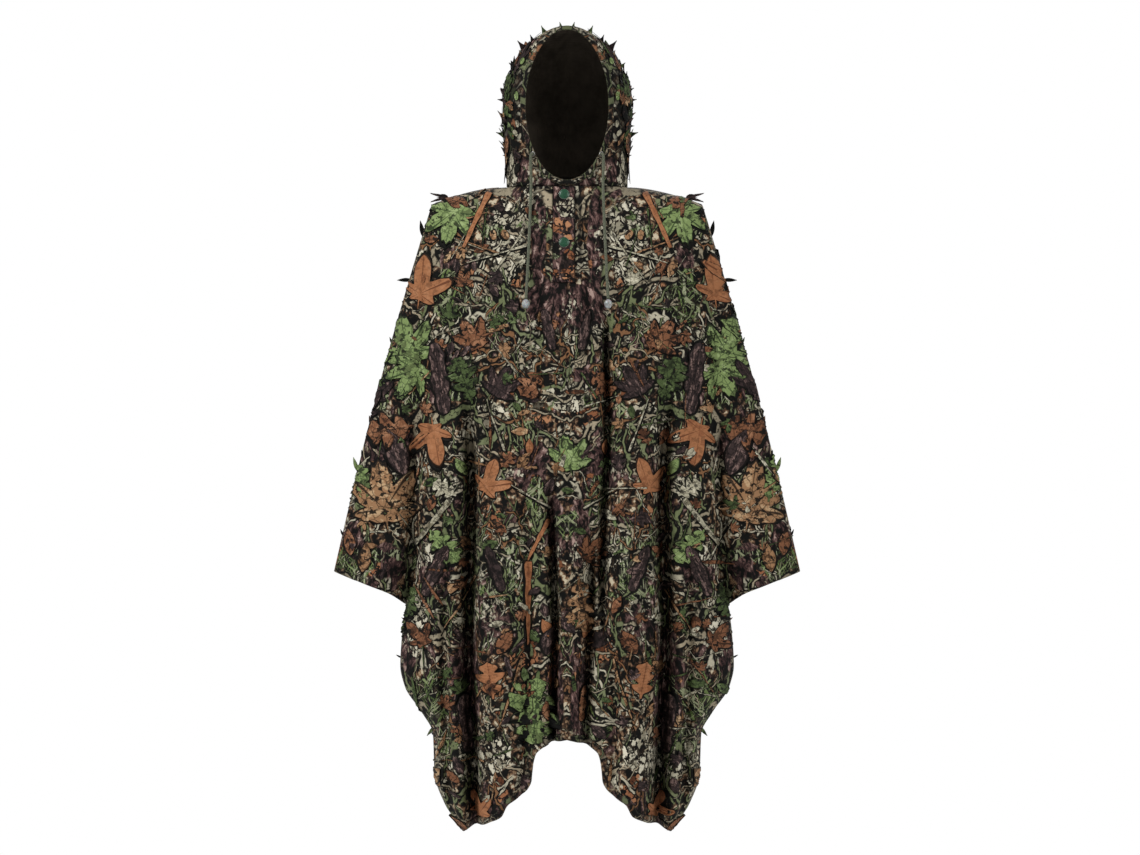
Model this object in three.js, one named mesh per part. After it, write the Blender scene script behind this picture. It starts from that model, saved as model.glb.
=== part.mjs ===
// Hooded leaf-camouflage poncho (ghillie cape) as it hangs on a standing wearer.
// Millimetres, +Z up, -Y the wearer's front, +X the wearer's left.
// The origin is the middle of the neck, level with the shoulders that carry the garment.
// Every cloth panel is a thin closed shell. Hems, bindings, press studs and cords are solids of their own.
import * as THREE from "three";
import { mergeVertices } from "three/addons/utils/BufferGeometryUtils.js";

// ---------------------------------------------------------------- driving dimensions
const CLOTH = 2; // thickness of a cloth shell with its leaf layer
const HEM = 12; // depth of a turned hem
const GAP = 0.3; // half the space between two sewn panels
const SEW_GAP = 1; // between a panel and the hem sewn to it
const SLEEVE_GAP = 3; // between the body and a sleeve
const NECK = { halfWidth: 104, halfDepth: 90, height: 9, rise: 5 };
const SHOULDER = { tip: 232, height: -20, round: 100 };
const WRIST = { x: 401, z: -651 };
const UNDERARM = -708; // where a sleeve opening ends and the side seam starts
const ARM_DEPTH = 58; // half the depth of a sleeve
const HOOD_SPLIT = 70; // height of the fold between the collar and the hood that tips back
const COLLAR_INSET = 3; // the collar stands inside the hood's lower edge
const FACE = { halfWidth: 70, halfHeight: 127, height: 142 };
const FACE_HEM = 10; // width of the drawcord channel round the face
const SLOPE = 0.2012; // how far the chest comes forward for each millimetre down the placket
const PLACKET = { left: 14, right: -24, top: -1, bottom: -168, front: -2.6, back: -0.6 };
const UNDERLAP = { left: 24, right: -15, top: -2, bottom: -162, front: 3.4, back: 5 };
const PANEL_START = 10; // how far from the middle the left front panel starts beside the placket
const PANELS_MEET = 150; // the drop, under the end of the flap, where the front panels meet
const SNAP = { x: -5, z: [-15, -99], capRadius: 8.8 };
const CORD_RADIUS = 2.4;
const CORD_END = { x: 69, y: -137, z: -197 };
const EYELET = { x: 58.2, y: -82.6, z: 59, turn: 29 };

// ---------------------------------------------------------------- small maths
const clamp = (t) => Math.min(1, Math.max(0, t));
const smooth = (a, b, t) => {
  const s = clamp((t - a) / (b - a));
  return s * s * (3 - 2 * s);
};

// A smooth curve that never overshoots its points, which are [position, value] in rising order.
function curve(points) {
  const last = points.length - 1;
  const step = (i) => (points[i + 1][1] - points[i][1]) / (points[i + 1][0] - points[i][0]);
  const slope = points.map((_, i) => {
    if (i === 0) return step(0);
    if (i === last) return step(last - 1);
    const [a, b] = [step(i - 1), step(i)];
    return a * b <= 0 ? 0 : (2 * a * b) / (a + b);
  });
  return (t) => {
    if (t <= points[0][0]) return points[0][1];
    if (t >= points[last][0]) return points[last][1];
    const i = points.findIndex((_, k) => t < points[k + 1][0]);
    const width = points[i + 1][0] - points[i][0];
    const s = (t - points[i][0]) / width;
    const [s2, s3] = [s * s, s * s * s];
    return (
      (2 * s3 - 3 * s2 + 1) * points[i][1] +
      (s3 - 2 * s2 + s) * width * slope[i] +
      (3 * s2 - 2 * s3) * points[i + 1][1] +
      (s3 - s2) * width * slope[i + 1]
    );
  };
}

// ---------------------------------------------------------------- the garment's surfaces
// Half the body's width at a drop below the neck: shoulder, side seam, then the corner of the hem.
const bodyHalfWidth = curve([
  [20, 232],
  [100, 240],
  [300, 247],
  [500, 252],
  [620, 258],
  [708, 277],
  [760, 284],
  [813, 287],
  [850, 279],
  [894, 250],
  [930, 231],
  [1000, 228],
  [1050, 211],
  [1096, 180],
]);
const frontDepth = curve([[-4, 90], [165, 124], [400, 134], [925, 148], [1096, 150]]);
const backDepth = curve([[-14, 90], [80, 112], [200, 120], [500, 124], [925, 138], [1096, 140]]);
// The drop of the hem, from the middle (0) to the corner (1).
const frontHem = curve([
  [0, 925],
  [0.1, 930],
  [0.2, 946],
  [0.25, 978],
  [0.3, 1014],
  [0.5, 1042],
  [0.65, 1064],
  [0.8, 1083],
  [1, 1096],
]);
const backHem = curve([[0, 900], [0.2, 922], [0.35, 990], [0.55, 1036], [0.8, 1078], [1, 1096]]);
// The drop of the sleeve's opening, from the side seam (0) to the outer fold (1).
const sleeveHem = curve([[0, 708], [0.12, 697], [0.25, 687], [0.5, 674], [1, 651]]);

// Long folds that hang from the chest and shoulder blades: the place across, how wide, how deep, the drops
// where each starts and is full, and where it ends. A positive depth stands out and a negative one goes in.
const FRONT_FOLDS = [
  { x: -166, wide: 26, deep: -42, from: 330, full: 560, end: 1100 },
  { x: 166, wide: 26, deep: -42, from: 330, full: 560, end: 1100 },
  { x: 66, wide: 15, deep: -30, from: 190, full: 330, end: 760 },
  { x: -21, wide: 16, deep: -26, from: 500, full: 640, end: 930 },
  { x: 24, wide: 26, deep: 14, from: 300, full: 480, end: 900 },
  { x: -104, wide: 34, deep: 22, from: 320, full: 640, end: 1100 },
  { x: 108, wide: 34, deep: 22, from: 320, full: 640, end: 1100 },
  { x: -222, wide: 26, deep: 18, from: 360, full: 640, end: 1100 },
  { x: 222, wide: 26, deep: 18, from: 360, full: 640, end: 1100 },
];
const BACK_FOLDS = [
  { x: -178, wide: 30, deep: -34, from: 300, full: 600, end: 1100 },
  { x: 178, wide: 30, deep: -34, from: 300, full: 600, end: 1100 },
  { x: -64, wide: 26, deep: -26, from: 360, full: 640, end: 1100 },
  { x: 58, wide: 26, deep: -26, from: 300, full: 600, end: 1100 },
  { x: -118, wide: 36, deep: 20, from: 300, full: 600, end: 1100 },
  { x: 116, wide: 36, deep: 20, from: 300, full: 600, end: 1100 },
  { x: 0, wide: 34, deep: 18, from: 340, full: 600, end: 1100 },
];

function foldAt(folds, x, drop) {
  let out = 0;
  for (const f of folds) {
    const along = smooth(f.from, f.full, drop) * (1 - smooth(f.end - 140, f.end + 60, drop));
    out += f.deep * along * Math.exp(-(((x - f.x) / f.wide) ** 2));
  }
  return out;
}

// How far a rounded edge has come out at t of its radius.
const rounded = (t) => Math.sqrt(1 - (1 - clamp(t)) ** 2);

// Half the depth at the side: the sleeve's depth, closing to the side seam below the sleeve.
const sideDepth = (drop) => GAP + ARM_DEPTH * (1 - smooth(540, -UNDERARM, drop));

// The neck seam and the shoulder seam, as the top edge of a body panel at x. face is -1 in front, 1 behind.
function topEdge(x, face) {
  const across = Math.abs(x) / NECK.halfWidth;
  if (across < 1) {
    const round = Math.sqrt(1 - across * across);
    const y = face * Math.max(GAP, NECK.halfDepth * round);
    return { y, z: NECK.height + face * NECK.rise * round };
  }
  const out = (Math.abs(x) - NECK.halfWidth) / (SHOULDER.tip - NECK.halfWidth);
  return { y: face * GAP, z: NECK.height + (SHOULDER.height - NECK.height) * out ** 1.6 };
}

// The smooth cross-section of the body, before its folds.
function sectionY(across, drop, face) {
  const side = sideDepth(drop);
  const middle = face < 0 ? frontDepth(drop) : backDepth(drop);
  return face * (side + (middle - side) * (1 - Math.min(1, across) ** 2.3) ** 0.62);
}

// The placket's plane, which the chest beside it lies in.
const placketPlane = (z) => -NECK.halfDepth + SLOPE * (z - NECK.height + NECK.rise);

// Where a front panel's inner edge runs: the middle, or back from it beside the placket.
function innerEdge(side, face, drop) {
  if (face > 0) return side * GAP;
  const beside = 1 - smooth(PANELS_MEET - 20, PANELS_MEET, drop);
  return side * GAP + beside * (side < 0 ? PLACKET.right : PANEL_START);
}

// A point of a body panel. side is 1 for the wearer's left. across runs from the middle (0) to the side (1),
// down from the shoulder (0) to the hem (1).
function bodyPoint(side, face, across, down) {
  const seam = topEdge(across * SHOULDER.tip, face);
  const hem = -(face < 0 ? frontHem : backHem)(across);
  const z = seam.z + (hem - seam.z) * down;
  const width = bodyHalfWidth(-z);
  const inner = innerEdge(side, face, -z);
  const x = inner + across * (side * width - inner);
  const q = Math.abs(x) / width;
  const settle = 1 - rounded((seam.z - z) / SHOULDER.round);
  const drape = sectionY(q, -z, face) + (seam.y - sectionY(across, -seam.z, face)) * settle;
  const pressed = face < 0 ? (1 - smooth(28, 72, Math.abs(x))) * (1 - smooth(172, 230, -z)) : 0;
  const flat = drape + (placketPlane(z) - drape) * pressed;
  const nearSide = 1 - smooth(0.9, 1, q);
  const fold = foldAt(face < 0 ? FRONT_FOLDS : BACK_FOLDS, x, -z) * nearSide;
  return new THREE.Vector3(x, flat + face * fold, z);
}

const sleeveHalfWidth = (drop) => {
  const t = (drop + SHOULDER.height) / (SHOULDER.height - WRIST.z);
  return SHOULDER.tip + (WRIST.x - SHOULDER.tip) * t + 8 * Math.sin(Math.PI * clamp(t));
};

// A point of a sleeve panel, which starts at the shoulder tip and widens to the wrist.
// across runs from the body (0) to the outer fold (1).
function sleevePoint(side, face, across, down) {
  const z = SHOULDER.height + down * (-sleeveHem(across) - SHOULDER.height);
  const inner = bodyHalfWidth(-z) + SLEEVE_GAP;
  const x = inner + (sleeveHalfWidth(-z) - inner) * across;
  const settle = rounded((SHOULDER.height - z) / SHOULDER.round);
  const atBody = sideDepth(-z);
  const bulge = (ARM_DEPTH - atBody) * Math.sin(Math.PI * across) ** 0.8;
  const depth = (atBody * Math.sqrt(1 - across * across) + Math.max(0, bulge)) * settle;
  return new THREE.Vector3(side * x, face * Math.max(GAP, depth), z);
}

// The hood in level slices: height, half width, front and back.
const HOOD_SLICES = [
  [0, 4, 104, -90, 90],
  [0.15, 55, 105, -92, 104],
  [0.3, 105, 109, -96, 117],
  [0.45, 150, 111, -98, 125],
  [0.6, 193, 103, -97, 124],
  [0.7, 222, 91, -94, 114],
  [0.8, 248, 73, -89, 95],
  [0.87, 263, 56, -84, 74],
  [0.93, 272, 40, -79, 50],
  [0.97, 277, 24, -74, 20],
  [1, 279, 0, -27, -27],
];
const sliceValue = (column) => curve(HOOD_SLICES.map((row) => [row[0], row[column]]));
const hoodHeight = sliceValue(1);
const hoodHalfWidth = sliceValue(2);
const hoodFront = sliceValue(3);
const hoodBack = sliceValue(4);
const hoodUpAt = curve(HOOD_SLICES.map((row) => [row[1], row[0]]));

// Half the width of the face opening at a height, grown by the width of its hem.
function faceHalfWidth(z, grow) {
  const t = (z - FACE.height) / (FACE.halfHeight + grow);
  return t * t < 1 ? (FACE.halfWidth + grow) * Math.sqrt(1 - t * t) : 0;
}

// A point of the hood. round runs from the face opening (0) to the back seam (1), up from neck to crown.
function hoodPoint(side, round, up, inset = 0, grow = FACE_HEM + SEW_GAP) {
  const z = hoodHeight(up);
  const width = Math.max(0.01, hoodHalfWidth(up) - inset);
  const middle = (hoodFront(up) + hoodBack(up)) / 2;
  const depth = (hoodBack(up) - hoodFront(up)) / 2 - inset;
  const open = Math.asin(Math.min(1, faceHalfWidth(z, grow) / width));
  const angle = open + (Math.PI - open) * round;
  const x = side * Math.max(GAP, width * Math.sin(angle));
  return new THREE.Vector3(x, middle - depth * Math.cos(angle), z);
}

// A point of the drawcord channel round the face, at turn from its lowest point. wide is -1 at the opening's
// edge and 1 at the hood's, and thick is 0 on the hood's surface.
function faceHemPoint(turn, wide, thick) {
  const grow = (FACE_HEM / 2) * (1 + wide);
  const x = (FACE.halfWidth + grow) * Math.sin(turn);
  const z = FACE.height - (FACE.halfHeight + grow) * Math.cos(turn);
  const up = hoodUpAt(z);
  const width = Math.max(1, hoodHalfWidth(up));
  const middle = (hoodFront(up) + hoodBack(up)) / 2;
  const depth = (hoodBack(up) - hoodFront(up)) / 2;
  const sine = Math.min(0.85, Math.abs(x) / width);
  return new THREE.Vector3(x, middle - depth * Math.sqrt(1 - sine * sine) + thick, z);
}

// ---------------------------------------------------------------- solids
// A closed body from triangles of points, with points in one place made one and flat triangles left out.
function closedBody(triangles) {
  const position = new Float32Array(triangles.flatMap((t) => t.flatMap((p) => [p.x, p.y, p.z])));
  const loose = new THREE.BufferGeometry();
  loose.setAttribute("position", new THREE.BufferAttribute(position, 3));
  const joined = mergeVertices(loose, 1e-3);
  const kept = [];
  for (let i = 0; i < joined.index.count; i += 3) {
    const [a, b, c] = [0, 1, 2].map((k) => joined.index.getX(i + k));
    if (a !== b && b !== c && a !== c) kept.push(a, b, c);
  }
  joined.setIndex(kept);
  joined.computeVertexNormals();
  return joined;
}

// A shell of the given thickness behind a surface, over a grid of rows. The surface's outside is where
// (next column) x (next row) points, or the other way with flip. keep moves an inner point that would touch
// a neighbour.
function shell(surface, columns, rows, thickness, flip, keep = (p) => p) {
  const outer = rows.map((v) => columns.map((u) => surface(u, v)));
  const inner = outer.map((line, r) =>
    line.map((p, c) => {
      const left = line[Math.max(0, c - 1)];
      const right = line[Math.min(columns.length - 1, c + 1)];
      const above = outer[Math.max(0, r - 1)][c];
      const below = outer[Math.min(rows.length - 1, r + 1)][c];
      const normal = new THREE.Vector3()
        .subVectors(right, left)
        .cross(new THREE.Vector3().subVectors(below, above))
        .normalize();
      if (r === 0 || r === rows.length - 1) normal.setZ(0).normalize();
      normal.multiplyScalar(flip ? thickness : -thickness);
      return keep(p.clone().add(normal), columns[c], rows[r]);
    }),
  );
  const triangles = [];
  const quad = (a, b, c, d) => {
    triangles.push(...(flip ? [[a, c, b], [a, d, c]] : [[a, b, c], [a, c, d]]));
  };
  const [lastRow, lastColumn] = [rows.length - 1, columns.length - 1];
  for (let r = 0; r < lastRow; r++) {
    for (let c = 0; c < lastColumn; c++) {
      quad(outer[r][c], outer[r][c + 1], outer[r + 1][c + 1], outer[r + 1][c]);
      quad(inner[r][c], inner[r + 1][c], inner[r + 1][c + 1], inner[r][c + 1]);
    }
    quad(outer[r][0], outer[r + 1][0], inner[r + 1][0], inner[r][0]);
    quad(outer[r + 1][lastColumn], outer[r][lastColumn], inner[r][lastColumn], inner[r + 1][lastColumn]);
  }
  for (let c = 0; c < lastColumn; c++) {
    quad(outer[0][c + 1], outer[0][c], inner[0][c], inner[0][c + 1]);
    quad(outer[lastRow][c], outer[lastRow][c + 1], inner[lastRow][c + 1], inner[lastRow][c]);
  }
  return closedBody(triangles);
}

// Numbers from a to b in n steps, bunched towards b by an ease over 1.
const spread = (a, b, n, ease = 1) =>
  Array.from({ length: n + 1 }, (_, i) => a + (b - a) * (1 - (1 - i / n) ** ease));
// The same, bunched towards a.
const spreadLow = (a, b, n, ease) =>
  Array.from({ length: n + 1 }, (_, i) => a + (b - a) * (i / n) ** ease);

const part = new THREE.Group();
const colour = (hex, roughness = 0.9, metalness = 0) =>
  new THREE.MeshStandardMaterial({ color: hex, roughness, metalness });
const LEAF_CLOTH = colour(0x4f4433);
const HEM_CLOTH = colour(0x2f2a22);
const LINING_CLOTH = colour(0x29251f);
const CORD = colour(0x5d6448, 0.8);
const SNAP_PAINT = colour(0x2c6444, 0.35, 0.1);
const STEEL = colour(0x9a9a94, 0.35, 0.9);
const PEARL = colour(0xb9bcb8, 0.3);
const LEAF_GREEN = colour(0x6f9350);
const LEAF_BROWN = colour(0x8a5a34);

function add(name, geometry, material, into = part) {
  const mesh = new THREE.Mesh(geometry, material);
  mesh.name = name;
  into.add(mesh);
  return mesh;
}

const SIDES = [
  ["right", -1],
  ["left", 1],
];
const FACES = [
  ["front", -1],
  ["back", 1],
];

// ---------------------------------------------------------------- body panels, sleeves and their hems
// The share of a panel's length down to its hem at an edge position.
const hemShare = (length) => 1 - (HEM + SEW_GAP) / length;
const hemTop = (length) => 1 - HEM / length;

function addBodyPanel(sideName, side, faceName, face) {
  const across = face < 0 ? spread(0, 1, 15, 1.25) : spread(0, 1, 11, 1.25);
  const hem = face < 0 ? frontHem : backHem;
  const lengthAt = (u) => hem(u) + topEdge(u * SHOULDER.tip, face).z;
  const surface = (u, v) => bodyPoint(side, face, u, v * hemShare(lengthAt(u)));
  const keep = (p) => {
    const inner = side * innerEdge(side, face, -p.z);
    p.x = side * Math.min(bodyHalfWidth(-p.z), Math.max(inner, side * p.x));
    p.y = face * Math.max(GAP, face * p.y);
    return p;
  };
  const flip = side * face < 0;
  const down = face < 0 ? spreadLow(0, 1, 15, 1.34) : spreadLow(0, 1, 12, 1.25);
  add(`${faceName}_${sideName}_panel`, shell(surface, across, down, CLOTH, flip, keep), LEAF_CLOTH);
  const strip = (u, v) => bodyPoint(side, face, u, hemTop(lengthAt(u)) + (v * HEM) / lengthAt(u));
  const hemShell = shell(strip, across, [0, 1], CLOTH, flip, keep);
  add(`${faceName}_${sideName}_hem`, hemShell, HEM_CLOTH);
}

function addSleevePanel(sideName, side, faceName, face) {
  const lengthAt = (s) => sleeveHem(s) + SHOULDER.height;
  const first = 0.02;
  const surface = (s, v) => sleevePoint(side, face, s, first + (hemShare(lengthAt(s)) - first) * v);
  const keep = (p) => {
    p.y = face * Math.max(GAP, face * p.y);
    p.x = side * Math.max(side * p.x, bodyHalfWidth(-p.z) + SLEEVE_GAP);
    return p;
  };
  const flip = side * face < 0;
  const sleeveShell = shell(surface, [0, 0.3, 0.6, 0.85, 1], spread(0, 1, 9), CLOTH, flip, keep);
  add(`${sideName}_sleeve_${faceName}`, sleeveShell, LEAF_CLOTH);
  const strip = (s, v) => sleevePoint(side, face, s, hemTop(lengthAt(s)) + (v * HEM) / lengthAt(s));
  const stripAcross = [0.03, 0.3, 0.6, 0.85, 1];
  add(`${sideName}_sleeve_hem_${faceName}`, shell(strip, stripAcross, [0, 1], CLOTH, flip, keep), HEM_CLOTH);
}

for (const [sideName, side] of SIDES) {
  for (const [faceName, face] of FACES) {
    addBodyPanel(sideName, side, faceName, face);
    addSleevePanel(sideName, side, faceName, face);
  }
}

// ---------------------------------------------------------------- collar, hood and their bindings
const crownUp = spread(hoodUpAt(HOOD_SPLIT + SEW_GAP), 1, 10, 1.2);
const aside = (side) => (p) => {
  p.x = side * Math.max(GAP, side * p.x);
  return p;
};
for (const [sideName, side] of SIDES) {
  const collar = (u, v) => {
    const seam = NECK.height - NECK.rise * Math.cos(Math.PI * u) + SEW_GAP;
    return hoodPoint(side, u, hoodUpAt(seam + (HOOD_SPLIT - seam) * v), COLLAR_INSET);
  };
  const hood = (u, v) => hoodPoint(side, u, v);
  const round = spread(0, 1, 11);
  add(`collar_${sideName}`, shell(collar, round, spread(0, 1, 3), CLOTH, side < 0, aside(side)), LEAF_CLOTH);
  add(`hood_${sideName}_panel`, shell(hood, round, crownUp, CLOTH, side < 0, aside(side)), LEAF_CLOTH);
}

// Tape over the seam where the hood's two halves meet, from the nape to the crown.
function crownTape() {
  const halfWide = 5;
  const [near, far] = [0.6, 1.6]; // how far the tape's two faces stand off the hood
  const rows = crownUp.slice(0, -1);
  const at = (x, up, off) => {
    const step = 0.01;
    const [back, rise] = [hoodBack(up) - hoodBack(up - step), hoodHeight(up) - hoodHeight(up - step)];
    const slope = new THREE.Vector2(back, rise).normalize();
    return new THREE.Vector3(x, hoodBack(up) + slope.y * off, hoodHeight(up) - slope.x * off);
  };
  const surface = (x, up) => at(x, up, near);
  return shell(surface, [-halfWide, halfWide], rows, 1, false, (p, x, up) => at(x, up, far));
}
add("hood_crown_tape", crownTape(), HEM_CLOTH);

// The drawcord channel: an upper length on the hood and a lower one on the collar.
function faceHem(from, to, steps) {
  const corners = [
    [-1, -2.5],
    [-0.4, -4.5],
    [0.4, -4.5],
    [0.97, -2.5],
    [0.9, -0.6],
    [-0.9, -0.6],
  ];
  const surface = (u, v) => {
    const [wide, thick] = corners[v % corners.length];
    return faceHemPoint(u, wide, thick);
  };
  const rings = spread(from, to, steps).map((turn) => corners.map((_, v) => surface(turn, v)));
  const triangles = [];
  for (let i = 0; i < steps; i++) {
    for (let k = 0; k < corners.length; k++) {
      const n = (k + 1) % corners.length;
      triangles.push([rings[i][k], rings[i + 1][n], rings[i + 1][k]]);
      triangles.push([rings[i][k], rings[i][n], rings[i + 1][n]]);
    }
  }
  for (let k = 1; k + 1 < corners.length; k++) {
    triangles.push([rings[0][0], rings[0][k + 1], rings[0][k]]);
    triangles.push([rings[steps][0], rings[steps][k], rings[steps][k + 1]]);
  }
  return closedBody(triangles);
}
const splitTurn = Math.acos((FACE.height - HOOD_SPLIT) / (FACE.halfHeight + FACE_HEM / 2));
const hemEnd = 0.012; // a little short of the split, so that the two lengths don't touch
add("face_hem", faceHem(splitTurn + hemEnd, 2 * Math.PI - splitTurn - hemEnd, 26), HEM_CLOTH);
add("face_hem_throat", faceHem(-splitTurn + hemEnd, splitTurn - hemEnd, 10), HEM_CLOTH);

// Tape inside the neck seam.
function neckTape() {
  const [wide, deep, thick, tall] = [NECK.halfWidth - 9, NECK.halfDepth - 11, 1.5, 9];
  const rings = spread(0, 2 * Math.PI, 24).map((a) => {
    const lift = NECK.height + 8 + NECK.rise * -Math.cos(a);
    const at = (grow, z) =>
      new THREE.Vector3((wide + grow) * Math.sin(a), -(deep + grow) * Math.cos(a), lift + z);
    return [at(0, 0), at(0, tall), at(-thick, tall), at(-thick, 0)];
  });
  const triangles = [];
  for (let i = 0; i + 1 < rings.length; i++) {
    for (let k = 0; k < 4; k++) {
      const n = (k + 1) % 4;
      triangles.push([rings[i][k], rings[i + 1][k], rings[i + 1][n]]);
      triangles.push([rings[i][k], rings[i + 1][n], rings[i][n]]);
    }
  }
  return closedBody(triangles);
}
add("neck_tape", neckTape(), LINING_CLOTH);

// ---------------------------------------------------------------- placket and press studs
// The placket's own frame leans with the chest: its -Y is straight out of the cloth, its -Z down the opening.
const placket = new THREE.Group();
placket.position.set(0, -NECK.halfDepth, NECK.height - NECK.rise);
placket.rotation.x = -Math.atan(SLOPE);
part.add(placket);

function slab({ left, right, front, back, top, bottom }) {
  const box = new THREE.BoxGeometry(left - right, back - front, top - bottom);
  return box.translate((left + right) / 2, (front + back) / 2, (top + bottom) / 2);
}
add("placket_flap", slab(PLACKET), LEAF_CLOTH, placket);
add("placket_underlap", slab(UNDERLAP), LEAF_CLOTH, placket);

// A turned part of a press stud, whose profile is [radius, height] with height out of the cloth.
function turned(profile) {
  const points = profile.map(([r, h]) => new THREE.Vector2(r, h));
  return new THREE.LatheGeometry(points, 16).rotateX(Math.PI);
}
const capProfile = [
  [0, 0],
  [SNAP.capRadius - 0.8, 0],
  [SNAP.capRadius, 0.7],
  [SNAP.capRadius - 0.6, 1.7],
  [5, 2.4],
  [0, 2.6],
];
const SOCKET_HEIGHT = 1.4;
const POST_HEIGHT = 1;
const socketProfile = [[3.2, 0], [5.4, 0], [5.6, 0.5], [4.6, SOCKET_HEIGHT], [3.2, SOCKET_HEIGHT], [3.2, 0]];
const studProfile = [[0, 0], [4.4, 0], [4.4, 0.7], [2.3, 0.9], [2.2, 1.5], [2.7, 1.8], [2.3, 2.2], [0, 2.2]];
const postProfile = [[0, 0], [4.8, 0], [5, 0.4], [4.4, 0.9], [0, POST_HEIGHT]];
["upper", "lower"].forEach((name, i) => {
  const z = SNAP.z[i];
  const place = (mesh, y) => mesh.position.set(SNAP.x, y, z);
  place(add(`snap_cap_${name}`, turned(capProfile), SNAP_PAINT, placket), PLACKET.front - GAP);
  const socket = add(`snap_socket_${name}`, turned(socketProfile), STEEL, placket);
  place(socket, PLACKET.back + GAP + SOCKET_HEIGHT);
  place(add(`snap_stud_${name}`, turned(studProfile), STEEL, placket), UNDERLAP.front - GAP);
  place(add(`snap_post_${name}`, turned(postProfile), STEEL, placket), UNDERLAP.back + GAP + POST_HEIGHT);
});

// ---------------------------------------------------------------- drawcord, its eyelets and its ends
// The route of the wearer's left cord: out of its eyelet, then down the chest to its end.
const CORD_ROUTE = [
  [57.8, -81.9, 59],
  [60, -85.8, 58.4],
  [61.3, -88, 55.4],
  [61.6, -88.8, 49],
  [61.4, -89, 38],
  [61, -89.2, 24],
  [60.8, -89.8, 8],
  [61, -92.2, -6],
  [61.4, -96.2, -18],
  [61.9, -101.2, -34],
  [62.6, -106.4, -54],
  [63.5, -112.2, -78],
  [64.5, -117.2, -102],
  [65.8, -123.4, -130],
  [67.2, -129, -158],
  [68.3, -133.4, -178],
  [68.8, -135.6, -188.9],
];
const eyeletProfile = [[2.9, -1], [4, -1], [4.4, -0.3], [4, 0.5], [3.2, 0.7], [2.9, 0.2], [2.9, -1]];
const endProfile = [
  [0, -7.5],
  [3.6, -6.8],
  [6.4, -4],
  [7.5, 0],
  [6.6, 3.8],
  [4.2, 6.4],
  [3.4, 7.2],
  [0, 7.4],
];
for (const [sideName, side] of SIDES) {
  const points = CORD_ROUTE.map(([x, y, z]) => new THREE.Vector3(side * x, y, z));
  const section = new THREE.Shape(
    Array.from({ length: 8 }, (_, i) => {
      const a = (i / 8) * 2 * Math.PI;
      return new THREE.Vector2(CORD_RADIUS * Math.cos(a), CORD_RADIUS * Math.sin(a));
    }),
  );
  const along = { steps: 30, bevelEnabled: false, extrudePath: new THREE.CatmullRomCurve3(points) };
  add(`drawcord_${sideName}`, new THREE.ExtrudeGeometry(section, along), CORD);
  const ring = add(`eyelet_${sideName}`, turned(eyeletProfile), STEEL);
  ring.position.set(side * EYELET.x, EYELET.y, EYELET.z);
  ring.rotation.z = side * THREE.MathUtils.degToRad(EYELET.turn);
  const bead = new THREE.LatheGeometry(endProfile.map(([r, h]) => new THREE.Vector2(r, h)), 16);
  const end = add(`cord_end_${sideName}`, bead.rotateX(Math.PI / 2), PEARL);
  end.position.set(side * CORD_END.x, CORD_END.y, CORD_END.z);
}

// ---------------------------------------------------------------- leaf cut-outs that stand off the cloth
// A leaf in its own plane, stem at the origin and tip up +Y, with the given pairs of lobes.
function leafShape(length, width, lobes) {
  const right = [];
  for (let i = 0; i < lobes; i++) {
    const t = (i + 0.55) / lobes;
    const reach = width * Math.sin(Math.PI * Math.min(0.95, 0.18 + 0.75 * t));
    right.push([reach * 0.5, length * (t + 0.12 / lobes)]);
    right.push([reach * 0.24, length * (t + 0.3 / lobes)]);
  }
  const outline = [[width * 0.05, 0], ...right, [0, length]];
  const left = outline.slice(0, -1).map(([x, y]) => [-x, y]).reverse();
  return new THREE.Shape([...outline, ...left].map(([x, y]) => new THREE.Vector2(x, y)));
}

// Each stands where its stem is sewn: place, the way that it points in the front view in degrees from up
// towards the wearer's left, how far it leans forward, its size and its colour.
const LEAVES = [
  ["shoulder", 202, -4, -2, 90, 0, 36, 18, 2, LEAF_GREEN],
  ["upper_arm", 250, -6, -74, 10, 0, 27, 10, 1, LEAF_BROWN],
  ["mid_arm", 275, -6, -150, 92, 0, 18, 10, 1, LEAF_BROWN],
  ["lower_arm", 363, -6, -474, 16, 0, 24, 12, 2, LEAF_GREEN],
  ["crown", 11, -40, 279.4, 18, 6, 10, 8, 1, LEAF_GREEN],
  ["brow", 40, -40, 272, 30, 6, 13, 9, 1, LEAF_GREEN],
  ["temple", 76, -16, 246, 44, 4, 17, 10, 1, LEAF_BROWN],
  ["cheek", 112.5, 14, 160, 74, 0, 11, 9, 1, LEAF_BROWN],
  ["jaw", 112, 14, 104, 70, 0, 14, 11, 2, LEAF_GREEN],
];
const LEAF_THICKNESS = 1.2;
for (const [sideName, side] of SIDES) {
  for (const [name, x, y, z, turn, lean, length, width, lobes, material] of LEAVES) {
    const shape = leafShape(length, width, lobes);
    const solid = new THREE.ExtrudeGeometry(shape, { depth: LEAF_THICKNESS, bevelEnabled: false });
    const leaf = add(`leaf_${name}_${sideName}`, solid.rotateX(Math.PI / 2), material);
    leaf.rotation.set(THREE.MathUtils.degToRad(lean), side * THREE.MathUtils.degToRad(turn), 0, "YXZ");
    leaf.position.set(side * x, y, z);
  }
}

export default part;
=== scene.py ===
"""A hooded leaf-camouflage poncho as it hangs on a standing wearer, modelled round its CAD frame.

Metres, +Z up, -Y the wearer's front, +X the wearer's left. The cloth follows the frame's panels, with the
folds, wrinkles, cut-out leaves, hems and puckers that they leave out.
"""
import math

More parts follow.
